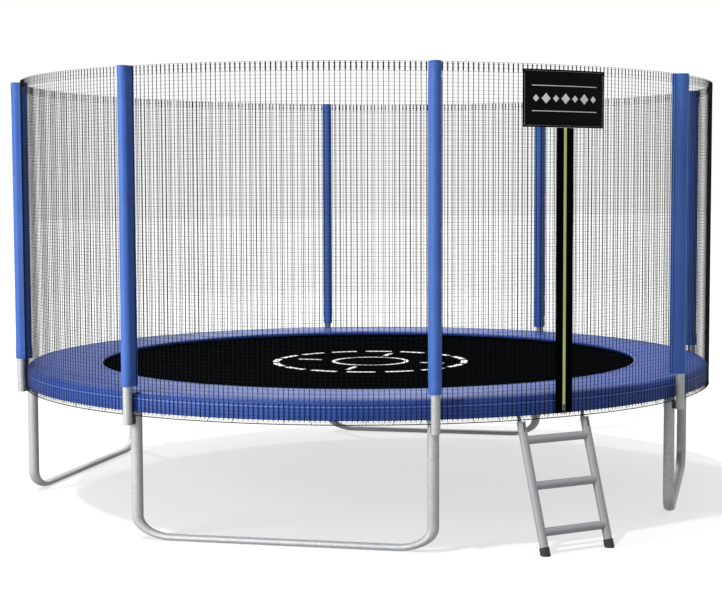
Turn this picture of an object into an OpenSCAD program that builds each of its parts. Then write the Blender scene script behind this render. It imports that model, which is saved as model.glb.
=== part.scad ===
// Round garden trampoline with a net enclosure on eight sleeved poles, four U-shaped
// legs, a padded spring cover, a sprung jumping mat and a hooked-on ladder.
// Millimetres, +Z up, standing on Z = 0. The entrance and the ladder face -Y.

/* [Frame] */
// Radius of the frame ring, to the centre line of its tube
frame_r = 2163; // [1700:1:2400]
// Height of the centre of the ring tube above the ground
rail_z = 768; // [700:1:900]
// Outer diameter of the ring tube
rail_d = 48; // [40:0.5:52]
// Wall of every steel tube
tube_wall = 2; // [1.2:0.1:3]
// Turn of the poles and legs about Z, measured from an even spread about -Y, in degrees
pole_turn = 3; // [0:0.5:6]
// Outside diameter of the tee sockets that join the ring tubes
socket_d = 56; // [54:0.5:60]
// Length of a tee socket along the ring
socket_len = 130; // [90:1:180]

/* [Legs] */
// Outer diameter of the leg tube
leg_d = 64; // [54:0.5:66]
// Bend radius of the leg, to the centre line, seen from above
leg_bend = 200; // [120:1:260]
// Height of the flattened floor bar as a share of the leg diameter
bar_flat = 0.56; // [0.5:0.02:1]

/* [Poles] */
// Outer diameter of the enclosure poles
pole_d = 50; // [38:0.5:52]
// Drop from the centre of the ring tube to the lower end of a lower pole
pole_foot_drop = 128; // [123:1:168]
// Rise from the centre of the ring tube to the joint of the lower and upper pole
pole_joint_rise = 162; // [132:1:432]
// Length of the plug between the two poles
pole_plug = 60; // [40:1:120]
// Rise from the centre of the ring tube to the lower end of the foam sleeves
sleeve_rise = 82; // [72:1:112]
// Rise from the centre of the ring tube to the top of the sleeves and of the net
net_rise = 1810; // [1532:1:1932]
// Width of a foam sleeve along the ring
sleeve_w = 62; // [58:0.5:70]
// Depth of a foam sleeve, from its outer side through the net to its inner side
sleeve_depth = 101; // [80:1:120]
// Thickness of the closed top of a sleeve
sleeve_lid = 7; // [4:0.5:12]
// Width of the moulded saddle
saddle_w = 42; // [34:1:46]
// Clearance between the net's hem cord and the lower poles
pole_gap = 1.5; // [1:0.1:10]

/* [Mat and springs] */
// Space for the springs, from the centre line of the ring tube to the edge of the mat
spring_space = 257; // [240:1:400]
// Rise from the centre of the ring tube to the top face of the mat
mat_rise = 16; // [6:0.5:18]
// Thickness of the mat fabric
mat_t = 2; // [1:0.5:4]
// Width of the webbing hem round the mat
hem_w = 30; // [20:1:50]
// Thickness of the folded webbing hem
hem_t = 5; // [3:0.5:6]
// Number of springs in each eighth of the ring
springs_per_bay = 9; // [6:1:12]
// Outer diameter of a spring's coil
spring_d = 16; // [12:0.5:20]
// Length of a spring's coil
spring_coil = 150; // [120:1:160]
// Diameter of the spring and ring wire
wire_d = 4; // [3:0.5:5]
// Length of a triangular mat ring
ring_len = 32; // [24:1:44]

/* [Safety pad] */
// Width of the mat's edge that lies under the safety pad
pad_lap = 181; // [40:1:250]
// Thickness of the pad over the springs
pad_t = 23; // [16:1:40]
// Height by which the pad crowns between its edges
pad_crown = 6; // [2:0.5:12]
// Radius of the rounded shoulder at the outer edge
pad_shoulder = 38; // [20:1:45]
// Drop from the centre of the ring tube to the lower edge of the pad's skirt
skirt_drop = 57; // [28:1:63]
// Thickness of the skirt fabric
skirt_t = 1.5; // [1:0.1:3]

/* [Net] */
// Clearance between the pad's skirt and the net
net_gap = 3.2; // [2:0.1:20]
// Thickness of the net cords and its top band
net_t = 2; // [1:0.25:3]
// Openings along each net panel between two poles
net_columns = 6; // [3:1:6]
// Openings up each net panel
net_rows = 6; // [3:1:6]
// Width of the cords between the openings
net_cord = 14; // [6:1:30]
// Height of the band along the top of the net
band_h = 52; // [30:1:80]
// Drop from the centre of the ring tube to the hem cord under the net
hem_cord_drop = 78; // [72:1:82]
// Diameter of the hem cord
hem_cord_d = 6; // [4:0.5:8]
// Lacing ties in each bay between two poles
ties_per_bay = 12; // [6:1:16]
// Diameter of a lacing tie
tie_d = 3; // [2:0.5:4]

/* [Entrance] */
// Width of the dark strip that covers the entrance seam
strip_w = 110; // [80:1:140]
// Width of the light zip tape down the middle of the strip
zip_w = 20; // [14:1:30]
// Width of the panel above the entrance
sign_w = 525; // [300:1:600]
// Height of the panel above the entrance
sign_h = 305; // [200:1:360]
// Drop of the panel's upper edge below the top of the net
sign_drop = 28; // [0:1:60]

/* [Ladder] */
// Distance between the centre lines of the two ladder rails
ladder_w = 410; // [340:1:480]
// Turn of the ladder round the ring from the middle of the entrance, in degrees
ladder_turn = -1.2; // [-3:0.1:3]
// Outer diameter of the ladder rails
ladder_rail_d = 48; // [44:0.5:50]
// Outer diameter of the rungs
rung_d = 46; // [38:0.5:48]
// Lean of the ladder from upright, in degrees
ladder_lean = 20; // [18:0.5:21]
// Number of rungs
rung_count = 3; // [2:1:3]
// Drop from the upper ends of the rails to the top rung
rung_drop = 95; // [80:1:140]
// Height of the lowest rung
rung_low_z = 115; // [90:1:180]
// Clearance between the rails' upper ends and the net's hem cord
ladder_gap = 3; // [2.8:0.1:30]
// Thickness of the plastic foot caps
cap_wall = 3; // [2:0.5:4]
// Height of the foot caps along the rail
cap_h = 42; // [36:1:60]
// Thickness of the ladder hooks across the frame
hook_t = 8; // [5:0.5:10]
// Thickness of the hook band round the ring tube
hook_band = 4.1; // [3:0.1:4.5]

/* [Hidden] */
$fn = 64;
gap = 0.3;
fit_gap = 0.1;
bays = 8;
bay_angle = 360 / bays;
rail_r = rail_d / 2;
leg_r = leg_d / 2;
pole_r = pole_d / 2;
socket_r = socket_d / 2;

// The hooks cross the curved ring tube where the two ladder rails meet it.
hook_r = sqrt(pow(frame_r, 2) - pow(ladder_w / 2, 2));
hook_in_r = rail_r + 0.7;
hook_out_r = hook_in_r + hook_band;
hook_reach = norm([hook_r + hook_out_r, (ladder_w + hook_t) / 2]);

// Skirt, net and poles stand outside the ring, one behind the other. The sleeves reach
// through the net, whose panels are sewn to their sides.
leg_out_r = frame_r + leg_r;
skirt_in_r = max(leg_out_r, frame_r + socket_r, hook_reach) + gap;
skirt_out_r = skirt_in_r + skirt_t;
net_r = skirt_out_r + net_gap + net_t / 2;
net_out_r = net_r + net_t / 2;
pole_in_r = net_r + hem_cord_d / 2 + pole_gap;
pole_ring_r = pole_in_r + pole_r;

// Mat and pad lie inside the ring.
mat_r = frame_r - spring_space;
pad_inner_r = mat_r - pad_lap;

// Heights that follow the ring tube.
mat_z = rail_z + mat_rise;
skirt_z = rail_z - skirt_drop;
pole_foot_z = rail_z - pole_foot_drop;
pole_joint_z = rail_z + pole_joint_rise;
sleeve_z = rail_z + sleeve_rise;
top_z = rail_z + net_rise;
hem_cord_z = rail_z - hem_cord_drop;
hem_low_z = hem_cord_z - hem_cord_d / 2;

// Ladder line: it runs down and outwards from just inside the frame's outer face.
ladder_top_z = hem_low_z - ladder_gap - ladder_rail_d / 2 * sin(ladder_lean);
rung_top_z = ladder_top_z - rung_drop;
rung_pitch = (rung_top_z - rung_low_z) / (rung_count - 1);
ladder_foot_r = hook_r + 14 + ladder_top_z * tan(ladder_lean);
function ladder_r(z) = ladder_foot_r - z * tan(ladder_lean);
cap_r = ladder_rail_d / 2 + cap_wall;
cap_reach = norm([cap_r / cos(ladder_lean) * cos(ladder_turn), cap_r * sin(ladder_turn)]);
front_reach = ladder_foot_r * cos(ladder_turn) + ladder_w / 2 * abs(sin(ladder_turn)) + cap_reach;
back_reach = max(net_out_r, net_r + hem_cord_d / 2);
// Moves the ring so that the origin is under the middle of the whole object.
centre_y = (front_reach - back_reach) / 2;

// Heights of the pad and of the band over the ring.
hook_top_z = rail_z + hook_out_r;
pad_z = max(hook_top_z, rail_z + socket_r) + 0.4;
pad_top_z = pad_z + pad_t;
band_z = top_z - band_h;
sign_z = top_z - sign_drop - sign_h;

// Leg: the chord between two stations and the squashed bend at its ends.
leg_half = frame_r * sin(bay_angle / 2);
leg_chord_r = frame_r * cos(bay_angle / 2);
leg_sides = 24;
leg_arcs = 8;
leg_top_z = rail_z - socket_r - gap;

// Saddles lie between the foot of the lower poles and the net's hem cord. Their bolts
// go through a leg, its saddle and the inner wall of the lower pole.
bolt_d = 8;
saddle_z = pole_foot_z + 3;
saddle_top_z = hem_low_z - 4;
bolt_z = [saddle_z + 9, saddle_top_z - 9];
stub_z = bolt_z[1] + bolt_d / 2 + 2;

spring_z = mat_z - hem_t / 2 + 1.5;
spring_in_r = mat_r + ring_len + gap;
spring_rise = spring_z - wire_d / 2 - rail_z;
spring_out_r = frame_r - sqrt(pow(rail_r, 2) - pow(spring_rise, 2)) - gap;
spring_mid_r = (spring_in_r + spring_out_r) / 2;

KEYS = [for (k = [1:bays]) k];

// Angle of a station about Z, counted from -Y towards +X.
function station(k) = bay_angle * (k - 0.5) + pole_turn;

// Places children, drawn at +X, on the ring at an angle counted from -Y.
module on_ring(angle, radius = 0, z = 0) {
    translate([0, centre_y, 0])
        rotate(angle - 90)
            translate([radius, 0, z])
                children();
}

// A level annular band from one angle to another.
module arc_band(r_in, r_out, z_low, height, from, to) {
    translate([0, centre_y, z_low])
        rotate(from - 90)
            rotate_extrude(angle = to - from, $fn = 720)
                translate([r_in, 0])
                    square([r_out - r_in, height]);
}

module tube(outer_r, inner_r, length) {
    difference() {
        cylinder(r = outer_r, h = length);
        translate([0, 0, -1])
            cylinder(r = inner_r, h = length + 2);
    }
}

module top_rail(k) {
    trim = 0.06;
    color("silver")
        translate([0, centre_y, rail_z])
            rotate(station(k) + trim - 90)
                rotate_extrude(angle = bay_angle - 2 * trim)
                    translate([frame_r, 0])
                        difference() {
                            circle(r = rail_r);
                            circle(r = rail_r - tube_wall);
                        }
}

module rail_socket(k) {
    half = socket_len / 2 / frame_r * 180 / PI;
    stub_r = (leg_r - tube_wall) * cos(180 / leg_sides) - fit_gap;
    difference() {
        union() {
            translate([0, centre_y, rail_z])
                rotate(station(k) - half - 90)
                    rotate_extrude(angle = 2 * half)
                        translate([frame_r, 0])
                            circle(r = socket_r);
            on_ring(station(k), frame_r, stub_z)
                cylinder(r = stub_r, h = rail_z - stub_z);
        }
        translate([0, centre_y, rail_z])
            rotate(station(k) - half - 90.1)
                rotate_extrude(angle = 2 * half + 0.2)
                    translate([frame_r, 0])
                        circle(r = rail_r + fit_gap);
        on_ring(station(k), frame_r, stub_z - 1)
            cylinder(r = stub_r - tube_wall, h = leg_top_z - stub_z - 7);
    }
}

module rail_sockets() {
    color("gainsboro")
        for (k = KEYS)
            rail_socket(k);
}

// One ring of points across the leg tube, at an angle up the bend from the floor bar.
function leg_ring(side, r, up) = [
    for (j = [0:leg_sides - 1])
        let (u = 360 * j / leg_sides, reach = leg_bend + r * cos(u))
        [
            side * (leg_half - leg_bend + reach * sin(up)),
            r * sin(u),
            bar_flat * (leg_r + leg_bend - reach * cos(up))
        ]
];

function raise_ring(ring, z) = [for (p = ring) [p.x, p.y, z]];

// Outer or inner rings of the whole leg, from one upright's top to the other's.
function leg_rings(r) = concat(
    [raise_ring(leg_ring(1, r, 90), leg_top_z)],
    [for (i = [leg_arcs:-1:0]) leg_ring(1, r, 90 * i / leg_arcs)],
    [for (i = [0:leg_arcs]) leg_ring(-1, r, 90 * i / leg_arcs)],
    [raise_ring(leg_ring(-1, r, 90), leg_top_z)]
);

// A steel tube bent into a U and flattened towards the ground, as one swept wall.
module leg_tube() {
    outer = leg_rings(leg_r);
    inner = leg_rings(leg_r - tube_wall);
    count = len(outer);
    n = leg_sides;
    wall = count * n;
    points = [for (ring = concat(outer, inner)) for (p = ring) p];
    skin = [
        for (i = [0:count - 2])
            for (j = [0:n - 1])
                let (a = i * n + j, b = i * n + (j + 1) % n, c = b + n, d = a + n)
                each [[a, b, c], [a, c, d], [a + wall, c + wall, b + wall], [a + wall, d + wall, c + wall]]
    ];
    last = (count - 1) * n;
    ends = [
        for (j = [0:n - 1])
            let (k = (j + 1) % n)
            each [
                [j, wall + j, wall + k],
                [j, wall + k, k],
                [last + j, last + k, last + wall + k],
                [last + j, last + wall + k, last + wall + j]
            ]
    ];
    polyhedron(points, concat(skin, ends));
}

module leg(k) {
    mid = 2 * bay_angle * (k - 1) + bay_angle + pole_turn;
    color("silver")
        on_ring(mid, leg_chord_r)
            rotate(90)
                difference() {
                    leg_tube();
                    for (side = [-1, 1])
                        for (z = bolt_z)
                            translate([side * leg_half, 0, z])
                                rotate(side * bay_angle / 2)
                                    rotate([90, 0, 0])
                                        cylinder(r = bolt_d / 2 + gap, h = leg_d + 4, center = true);
                }
}

module lower_pole(k) {
    plug_r = pole_r - tube_wall - fit_gap;
    color("silver")
        on_ring(station(k), pole_ring_r)
            difference() {
                union() {
                    translate([0, 0, pole_foot_z])
                        cylinder(r = pole_r, h = pole_joint_z - pole_foot_z);
                    translate([0, 0, pole_foot_z])
                        cylinder(r = plug_r, h = pole_joint_z + pole_plug - pole_foot_z);
                }
                translate([0, 0, pole_foot_z + 3])
                    cylinder(r = plug_r - tube_wall, h = pole_joint_z + pole_plug - pole_foot_z);
                for (z = bolt_z)
                    translate([0, 0, z])
                        rotate([0, -90, 0])
                            cylinder(r = bolt_d / 2 + gap, h = pole_d);
            }
}

module pole_saddles() {
    saddle_h = saddle_top_z - saddle_z;
    color("#3a3d42")
        for (k = KEYS)
            difference() {
                on_ring(station(k), leg_out_r - 6, saddle_z)
                    translate([0, -saddle_w / 2, 0])
                        cube([pole_in_r - leg_out_r + 14, saddle_w, saddle_h]);
                on_ring(station(k), frame_r, saddle_z - 1)
                    cylinder(r = leg_r + fit_gap, h = saddle_h + 2);
                on_ring(station(k), pole_ring_r, saddle_z - 1)
                    cylinder(r = pole_r + fit_gap, h = saddle_h + 2);
                for (z = bolt_z)
                    on_ring(station(k), frame_r, z)
                        rotate([0, 90, 0])
                            cylinder(r = bolt_d / 2 + gap, h = 2 * leg_d);
            }
}

module pole_bolts() {
    start = frame_r - leg_r - fit_gap;
    finish = pole_in_r + 10;
    color("darkgray")
        for (k = KEYS)
            for (z = bolt_z)
                on_ring(station(k), start, z) {
                    rotate([0, 90, 0])
                        cylinder(r = bolt_d / 2, h = finish - start);
                    rotate([0, -90, 0])
                        cylinder(r = 6.5, h = 5.3, $fn = 6);
                }
}

module upper_poles() {
    color("silver")
        for (k = KEYS)
            on_ring(station(k), pole_ring_r, pole_joint_z + fit_gap)
                tube(pole_r, pole_r - tube_wall, top_z - sleeve_lid - 5.5 - pole_joint_z);
}

module pole_plugs() {
    seat = top_z - sleeve_lid - 5.4;
    color("#26282c")
        for (k = KEYS)
            on_ring(station(k), pole_ring_r, seat) {
                cylinder(r = pole_r, h = 5);
                translate([0, 0, -22])
                    cylinder(r = pole_r - tube_wall - fit_gap, h = 22.5);
            }
}

module pole_sleeve(k) {
    reach = sleeve_depth - sleeve_w;
    color("#4a72bf")
        on_ring(station(k), pole_ring_r, sleeve_z)
            difference() {
                linear_extrude(height = top_z - sleeve_z)
                    union() {
                        circle(d = sleeve_w);
                        translate([-reach, 0])
                            circle(d = sleeve_w);
                        translate([-reach, -sleeve_w / 2])
                            square([reach, sleeve_w]);
                    }
                translate([0, 0, -1])
                    cylinder(r = pole_r + fit_gap, h = top_z - sleeve_z - sleeve_lid + 1);
            }
}

// Room that the net leaves for a sleeve at a station.
module sleeve_notch(k) {
    on_ring(station(k), net_r - 30, sleeve_z - gap)
        translate([0, -sleeve_w / 2 - gap, 0])
            cube([60, sleeve_w + 2 * gap, net_rise]);
}

// A net panel is a faceted wall with straight cords left between its openings.
module net_panel(k) {
    low = skirt_z + 1;
    high = band_z - gap;
    trim = 0.01;
    steps = 24;
    from = station(k) + trim;
    step = (bay_angle - 2 * trim) / steps;
    edge = asin((sleeve_w / 2 + gap) / net_r);
    column = (bay_angle - 2 * edge) / net_columns;
    wide = column * PI / 180 * net_r - net_cord;
    tall = (high - low - net_cord) / net_rows - net_cord;
    color("#17181a")
        difference() {
            translate([0, centre_y, low])
                rotate(from - 90)
                    linear_extrude(height = high - low)
                        polygon(concat(
                            [for (i = [0:steps]) net_out_r * [cos(i * step), sin(i * step)]],
                            [for (i = [steps:-1:0]) (net_out_r - net_t) * [cos(i * step), sin(i * step)]]
                        ));
            for (c = [0:net_columns - 1])
                for (r = [0:net_rows - 1])
                    on_ring(
                        station(k) + edge + (c + 0.5) * column,
                        net_r - 30,
                        low + net_cord + r * (tall + net_cord)
                    )
                        translate([0, -wide / 2, 0])
                            cube([60, wide, tall]);
            sleeve_notch(k);
            sleeve_notch(k + 1);
        }
}

module net_top_band() {
    color("#101113")
        difference() {
            arc_band(net_out_r - net_t, net_out_r, band_z, band_h, 0, 360);
            for (k = KEYS)
                sleeve_notch(k);
        }
}

// Hem cord under the net and the ties that lace it to the ring.
module net_lacing() {
    low_z = hem_cord_z + hem_cord_d / 2 + 0.8;
    high_r = frame_r + 12;
    high_z = rail_z - sqrt(pow(rail_r, 2) - pow(high_r - frame_r, 2)) - tie_d / 2 - 0.4;
    lean = atan((net_r - high_r) / (high_z - low_z));
    color("#202225") {
        translate([0, centre_y, hem_cord_z])
            rotate_extrude($fn = 180)
                translate([net_r, 0])
                    circle(d = hem_cord_d);
        for (k = KEYS)
            for (i = [0.5:ties_per_bay])
                on_ring(station(k) + i * bay_angle / ties_per_bay, net_r, low_z)
                    rotate([0, -lean, 0])
                        cylinder(d = tie_d, h = (high_z - low_z) / cos(lean), $fn = 16);
    }
}

module entrance_strip() {
    color("#0c0d0e")
        translate([-strip_w / 2, centre_y - net_out_r - gap - 1.6, skirt_z + 1])
            cube([strip_w, 1.6, sign_z - 2 - skirt_z]);
}

module zip_tape() {
    color("#b9c98f")
        translate([-zip_w / 2, centre_y - net_out_r - gap - 2.9, skirt_z + 18])
            cube([zip_w, 1.3, sign_z - 19 - skirt_z]);
}

module zip_slider() {
    color("#3c3f43")
        translate([0, centre_y - net_out_r - gap - 3.2, skirt_z + 26]) {
            translate([-7, -4, 0])
                cube([14, 4, 22]);
            translate([-4.5, -6.5, -30])
                difference() {
                    cube([9, 2.5, 44]);
                    translate([2.5, -1, 4])
                        cube([4, 5, 12]);
                }
        }
}

module sign_panel() {
    half = sign_w / 2 / net_out_r * 180 / PI;
    color("#08090a")
        arc_band(net_out_r + gap, net_out_r + 2.3, sign_z, sign_h, -half, half);
}

module jump_mat() {
    color("#111214")
        translate([0, centre_y, mat_z - mat_t])
            cylinder(r = mat_r - hem_w, h = mat_t, $fn = 180);
}

module mat_hem() {
    color("#1d1f22")
        translate([0, centre_y, mat_z + 1.5 - hem_t])
            rotate_extrude($fn = 180)
                translate([mat_r - hem_w, 0])
                    square([hem_w, hem_t]);
}

function spring_angles() = [
    for (k = KEYS)
        for (i = [0.5:springs_per_bay])
            station(k) + i * bay_angle / springs_per_bay
];

module mat_rings() {
    outside = [[0, -20], [0, 20], [ring_len, 3], [ring_len, -3]];
    inside_r = ring_len - wire_d;
    inside = [[wire_d, -13], [wire_d, 13], [inside_r, 1.2], [inside_r, -1.2]];
    color("lightgray")
        for (a = spring_angles())
            on_ring(a, mat_r, spring_z - wire_d / 2)
                linear_extrude(height = wire_d)
                    difference() {
                        polygon(outside);
                        polygon(inside);
                    }
}

module springs() {
    color("lightgray")
        for (a = spring_angles())
            on_ring(a, 0, spring_z)
                rotate([0, 90, 0]) {
                    translate([0, 0, spring_in_r])
                        cylinder(d = wire_d, h = spring_out_r - spring_in_r, $fn = 16);
                    translate([0, 0, spring_mid_r - spring_coil / 2])
                        cylinder(d = spring_d, h = spring_coil, $fn = 24);
                }
}

// Crowned ring cushion over the springs, with a rounded shoulder and a hanging skirt.
module safety_pad() {
    edge_r = skirt_out_r;
    width = edge_r - pad_shoulder - pad_inner_r;
    round_r = 9;
    top = pad_top_z;
    crown = [for (i = [0:12]) [
        pad_inner_r + round_r + (width - round_r) * i / 12,
        top + pad_crown * sin(180 * i / 12)
    ]];
    shoulder = [for (a = [75:-15:0]) [
        edge_r - pad_shoulder + pad_shoulder * cos(a),
        top - pad_shoulder + pad_shoulder * sin(a)
    ]];
    inner_edge = [for (a = [180:-30:120]) [
        pad_inner_r + round_r + round_r * cos(a),
        top - round_r + round_r * sin(a)
    ]];
    color("#3f62b5")
        translate([0, centre_y, 0])
            rotate_extrude($fn = 180)
                polygon(concat(
                    inner_edge,
                    crown,
                    shoulder,
                    [
                        [edge_r, skirt_z],
                        [skirt_in_r, skirt_z],
                        [skirt_in_r, pad_z],
                        [pad_inner_r + 5, pad_z],
                        [pad_inner_r, pad_z + 5]
                    ]
                ));
}

// Places children, drawn about the middle of the ring with the ladder at -Y.
module at_ladder() {
    translate([0, centre_y, 0])
        rotate(ladder_turn)
            children();
}

// Places children, drawn up along +Z from the floor, on the leaning line of a ladder rail.
module on_ladder(side) {
    at_ladder()
        translate([side * ladder_w / 2, -ladder_foot_r, 0])
            rotate([-ladder_lean, 0, 0])
                children();
}

module ladder_rail(side) {
    length = ladder_top_z / cos(ladder_lean);
    r = ladder_rail_d / 2;
    low = r * tan(ladder_lean) + cap_wall + gap;
    color("#8d8f92")
        difference() {
            on_ladder(side)
                translate([0, 0, low])
                    tube(r, r - tube_wall, length - low);
            ladder_hook_slot(side);
        }
}

// Slot in a rail's upper end for its hook plate.
module ladder_hook_slot(side) {
    at_ladder()
        translate([side * ladder_w / 2 - hook_t / 2 - fit_gap, -hook_r - 60, ladder_top_z - 46])
            cube([hook_t + 2 * fit_gap, 120, 80]);
}

module rung(k) {
    z = rung_top_z - (k - 1) * rung_pitch;
    color("#8d8f92")
        difference() {
            at_ladder()
                translate([-ladder_w / 2, -ladder_r(z), z])
                    rotate([0, 90, 0])
                        tube(rung_d / 2, rung_d / 2 - tube_wall, ladder_w);
            for (side = [-1, 1])
                on_ladder(side)
                    cylinder(r = ladder_rail_d / 2 + 0.02, h = rail_z);
        }
}

module ladder_foot(side) {
    r = ladder_rail_d / 2;
    low = r * tan(ladder_lean) + cap_wall;
    color("#1b1c1e")
        difference() {
            on_ladder(side)
                translate([0, 0, -40])
                    cylinder(r = cap_r, h = cap_h + 40);
            on_ladder(side)
                translate([0, 0, low])
                    cylinder(r = r + fit_gap, h = cap_h + 40);
            at_ladder()
                translate([-ladder_w - 200, -ladder_foot_r - 200, -100])
                    cube([2 * ladder_w + 400, 400, 100]);
        }
}

// Flat hook: a band over the ring tube and a tongue down into the rail.
module ladder_hooks() {
    drop = rail_z - ladder_top_z + 40;
    tongue = [[16, -18], [-3, -22], [-9, 36 - drop], [-17, -drop], [4, -drop], [16, 36 - drop]];
    color("#77797c")
        at_ladder()
            for (side = [-1, 1])
                translate([side * ladder_w / 2 - hook_t / 2, -hook_r, rail_z])
                    rotate([90, 0, 90])
                        linear_extrude(height = hook_t)
                            difference() {
                                union() {
                                    circle(r = hook_out_r);
                                    polygon(tongue);
                                }
                                circle(r = hook_in_r);
                                polygon([[0, 0], [60, -8], [60, -20], [20, -20]]);
                            }
}

for (k = KEYS)
    top_rail(k);
rail_sockets();
for (k = [1:4])
    leg(k);
for (k = KEYS)
    lower_pole(k);
pole_saddles();
pole_bolts();
upper_poles();
pole_plugs();
for (k = KEYS)
    pole_sleeve(k);
for (k = KEYS)
    net_panel(k);
net_top_band();
net_lacing();
entrance_strip();
zip_tape();
zip_slider();
sign_panel();
jump_mat();
mat_hem();
mat_rings();
springs();
safety_pad();
ladder_rail(-1);  // ladder_rail_left
ladder_rail(1);  // ladder_rail_right
for (k = [1:rung_count])
    rung(k);
ladder_foot(-1);  // ladder_foot_left
ladder_foot(1);  // ladder_foot_right
ladder_hooks();
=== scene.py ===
"""Dresses a round garden trampoline: net, sleeves, pad, mat, coils, steel, light and camera.

Lengths are metres in the part's own frame. Angles round the ring are in degrees, counted
from the entrance at -Y towards +X.
"""

import logging
import math
from collections.abc import Callable, Sequence
from dataclasses import dataclass, field
from enum import Enum

import bpy
from bpy.types import ID, Material, Node, NodeSocket, NodeTree, Object
from mathutils import Matrix, Vector, noise


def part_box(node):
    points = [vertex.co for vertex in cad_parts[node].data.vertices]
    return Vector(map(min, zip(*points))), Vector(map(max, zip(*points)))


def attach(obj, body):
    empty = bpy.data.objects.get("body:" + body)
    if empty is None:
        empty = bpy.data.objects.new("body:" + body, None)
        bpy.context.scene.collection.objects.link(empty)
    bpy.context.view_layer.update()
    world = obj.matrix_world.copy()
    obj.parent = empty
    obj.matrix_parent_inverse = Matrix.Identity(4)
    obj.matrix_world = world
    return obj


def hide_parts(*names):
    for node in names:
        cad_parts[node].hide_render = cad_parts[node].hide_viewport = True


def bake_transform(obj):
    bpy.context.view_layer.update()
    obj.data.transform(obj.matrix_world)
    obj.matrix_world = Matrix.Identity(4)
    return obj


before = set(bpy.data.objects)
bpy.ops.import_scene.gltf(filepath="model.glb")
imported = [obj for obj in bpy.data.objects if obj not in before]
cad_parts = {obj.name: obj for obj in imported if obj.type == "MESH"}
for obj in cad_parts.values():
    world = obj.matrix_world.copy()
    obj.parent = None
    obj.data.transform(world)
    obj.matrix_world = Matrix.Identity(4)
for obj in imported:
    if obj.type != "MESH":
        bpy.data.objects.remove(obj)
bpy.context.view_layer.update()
log = logging.getLogger("trampoline")

ClothRule = Callable[[Vector, Vector], tuple[float, float]]
Outline = tuple[tuple[float, float], ...]

UP = Vector((0, 0, 1))
SWELL_FRAMES = 20
AIR_PRESSURE = 4.0
# Blender's wave texture repeats at this length when its scale is 1.
WAVE_PITCH = 0.314


class Body(Enum):
    """Rigid bodies that pieces ride on."""

    FRAME = "frame"
    MAT = "mat"
    LADDER = "ladder"
    ZIP = "zip"


class Axis(Enum):
    """Directions that a pattern runs in on a laid-out cloth."""

    WARP = "X"
    WEFT = "Y"


# Small tools ------------------------------------------------------------------------


def linear(hex_colour: str) -> tuple[float, float, float, float]:
    """Turns an sRGB hex colour into linear light.

    Args:
        hex_colour: Colour such as "4a6cb8".

    Returns:
        Red, green, blue and alpha, from 0 to 1.
    """
    parts = [int(hex_colour[i:i + 2], 16) / 255 for i in (0, 2, 4)]
    red, green, blue = (
        c / 12.92 if c <= 0.04045 else ((c + 0.055) / 1.055) ** 2.4 for c in parts
    )
    return red, green, blue, 1.0


def feed(tree: NodeTree, node: Node, inputs: dict) -> None:
    """Fills a node's sockets.

    Args:
        tree: Node tree that holds the node.
        node: Node to fill.
        inputs: Socket name or number to a value, or to the output that feeds it.
    """
    for name, value in inputs.items():
        if isinstance(value, NodeSocket):
            tree.links.new(value, node.inputs[name])
        else:
            node.inputs[name].default_value = value


def add_node(
    tree: NodeTree, kind: str, inputs: dict | None = None, output: int | str = 0, **settings
) -> NodeSocket:
    """Adds one node to a tree, with its settings and its links.

    Args:
        tree: Node tree that takes the node.
        kind: Blender's name for the node, after "ShaderNode".
        inputs: Socket name or number to a value, or to the output that feeds it.
        output: Which of its outputs is wanted.
        **settings: Properties of the node itself.

    Returns:
        The wanted output.
    """
    node = tree.nodes.new("ShaderNode" + kind)
    for name, value in settings.items():
        setattr(node, name, value)
    feed(tree, node, inputs or {})
    return node.outputs[output]


def put(name: str, data: ID) -> Object:
    """Puts new data in the scene.

    Args:
        name: Name of its object.
        data: Mesh, lamp or lens.

    Returns:
        The new object.
    """
    thing = bpy.data.objects.new(name, data)
    bpy.context.scene.collection.objects.link(thing)
    return thing


def shell(name: str, points: Sequence[Vector], faces: Sequence[tuple[int, ...]]) -> Object:
    """Makes points and faces into a piece.

    Args:
        name: Name of the new piece.
        points: Its points.
        faces: Numbers of the points of each face.

    Returns:
        The new piece.
    """
    mesh = bpy.data.meshes.new(name)
    mesh.from_pydata(points, [], faces)
    return put(name, mesh)


def deselect() -> None:
    """Leaves edit mode and deselects every object."""
    if bpy.context.mode != "OBJECT":
        bpy.ops.object.mode_set(mode="OBJECT")
    bpy.ops.object.select_all(action="DESELECT")


def take(piece: Object) -> None:
    """Selects one piece alone and makes it the active one.

    Args:
        piece: Object to select.
    """
    deselect()
    piece.select_set(True)
    bpy.context.view_layer.objects.active = piece


def primitive(name: str, operator: Callable, **settings) -> Object:
    """Adds a primitive with nothing else selected, and applies its place.

    Args:
        name: Name of the new piece.
        operator: Blender operator that adds the primitive.
        **settings: Its size and place.

    Returns:
        The new object, which is active.
    """
    deselect()
    operator(**settings)
    piece = bpy.context.object
    piece.name = piece.data.name = name
    settle(piece)
    return piece


def pick(piece: Object, test: Callable[[Vector], bool], faces: bool = False) -> None:
    """Enters edit mode with only the points or faces that pass a test selected.

    Args:
        piece: Object to edit.
        test: Takes a point's place or a face's centre.
        faces: Whether faces are picked instead of points.
    """
    take(piece)
    bpy.ops.object.mode_set(mode="EDIT")
    bpy.ops.mesh.select_mode(type="FACE" if faces else "VERT")
    bpy.ops.mesh.select_all(action="DESELECT")
    bpy.ops.object.mode_set(mode="OBJECT")
    if faces:
        for face in piece.data.polygons:
            face.select = test(face.center)
    else:
        for point in piece.data.vertices:
            point.select = test(point.co)
    bpy.ops.object.mode_set(mode="EDIT")


def modify(piece: Object, kind: str, **settings) -> None:
    """Adds a modifier to a piece and applies it.

    Args:
        piece: Object to change.
        kind: Blender's name for the modifier.
        **settings: Its settings.
    """
    take(piece)
    modifier = piece.modifiers.new(kind.lower(), kind)
    for name, value in settings.items():
        setattr(modifier, name, value)
    bpy.ops.object.modifier_apply(modifier=modifier.name)


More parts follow.
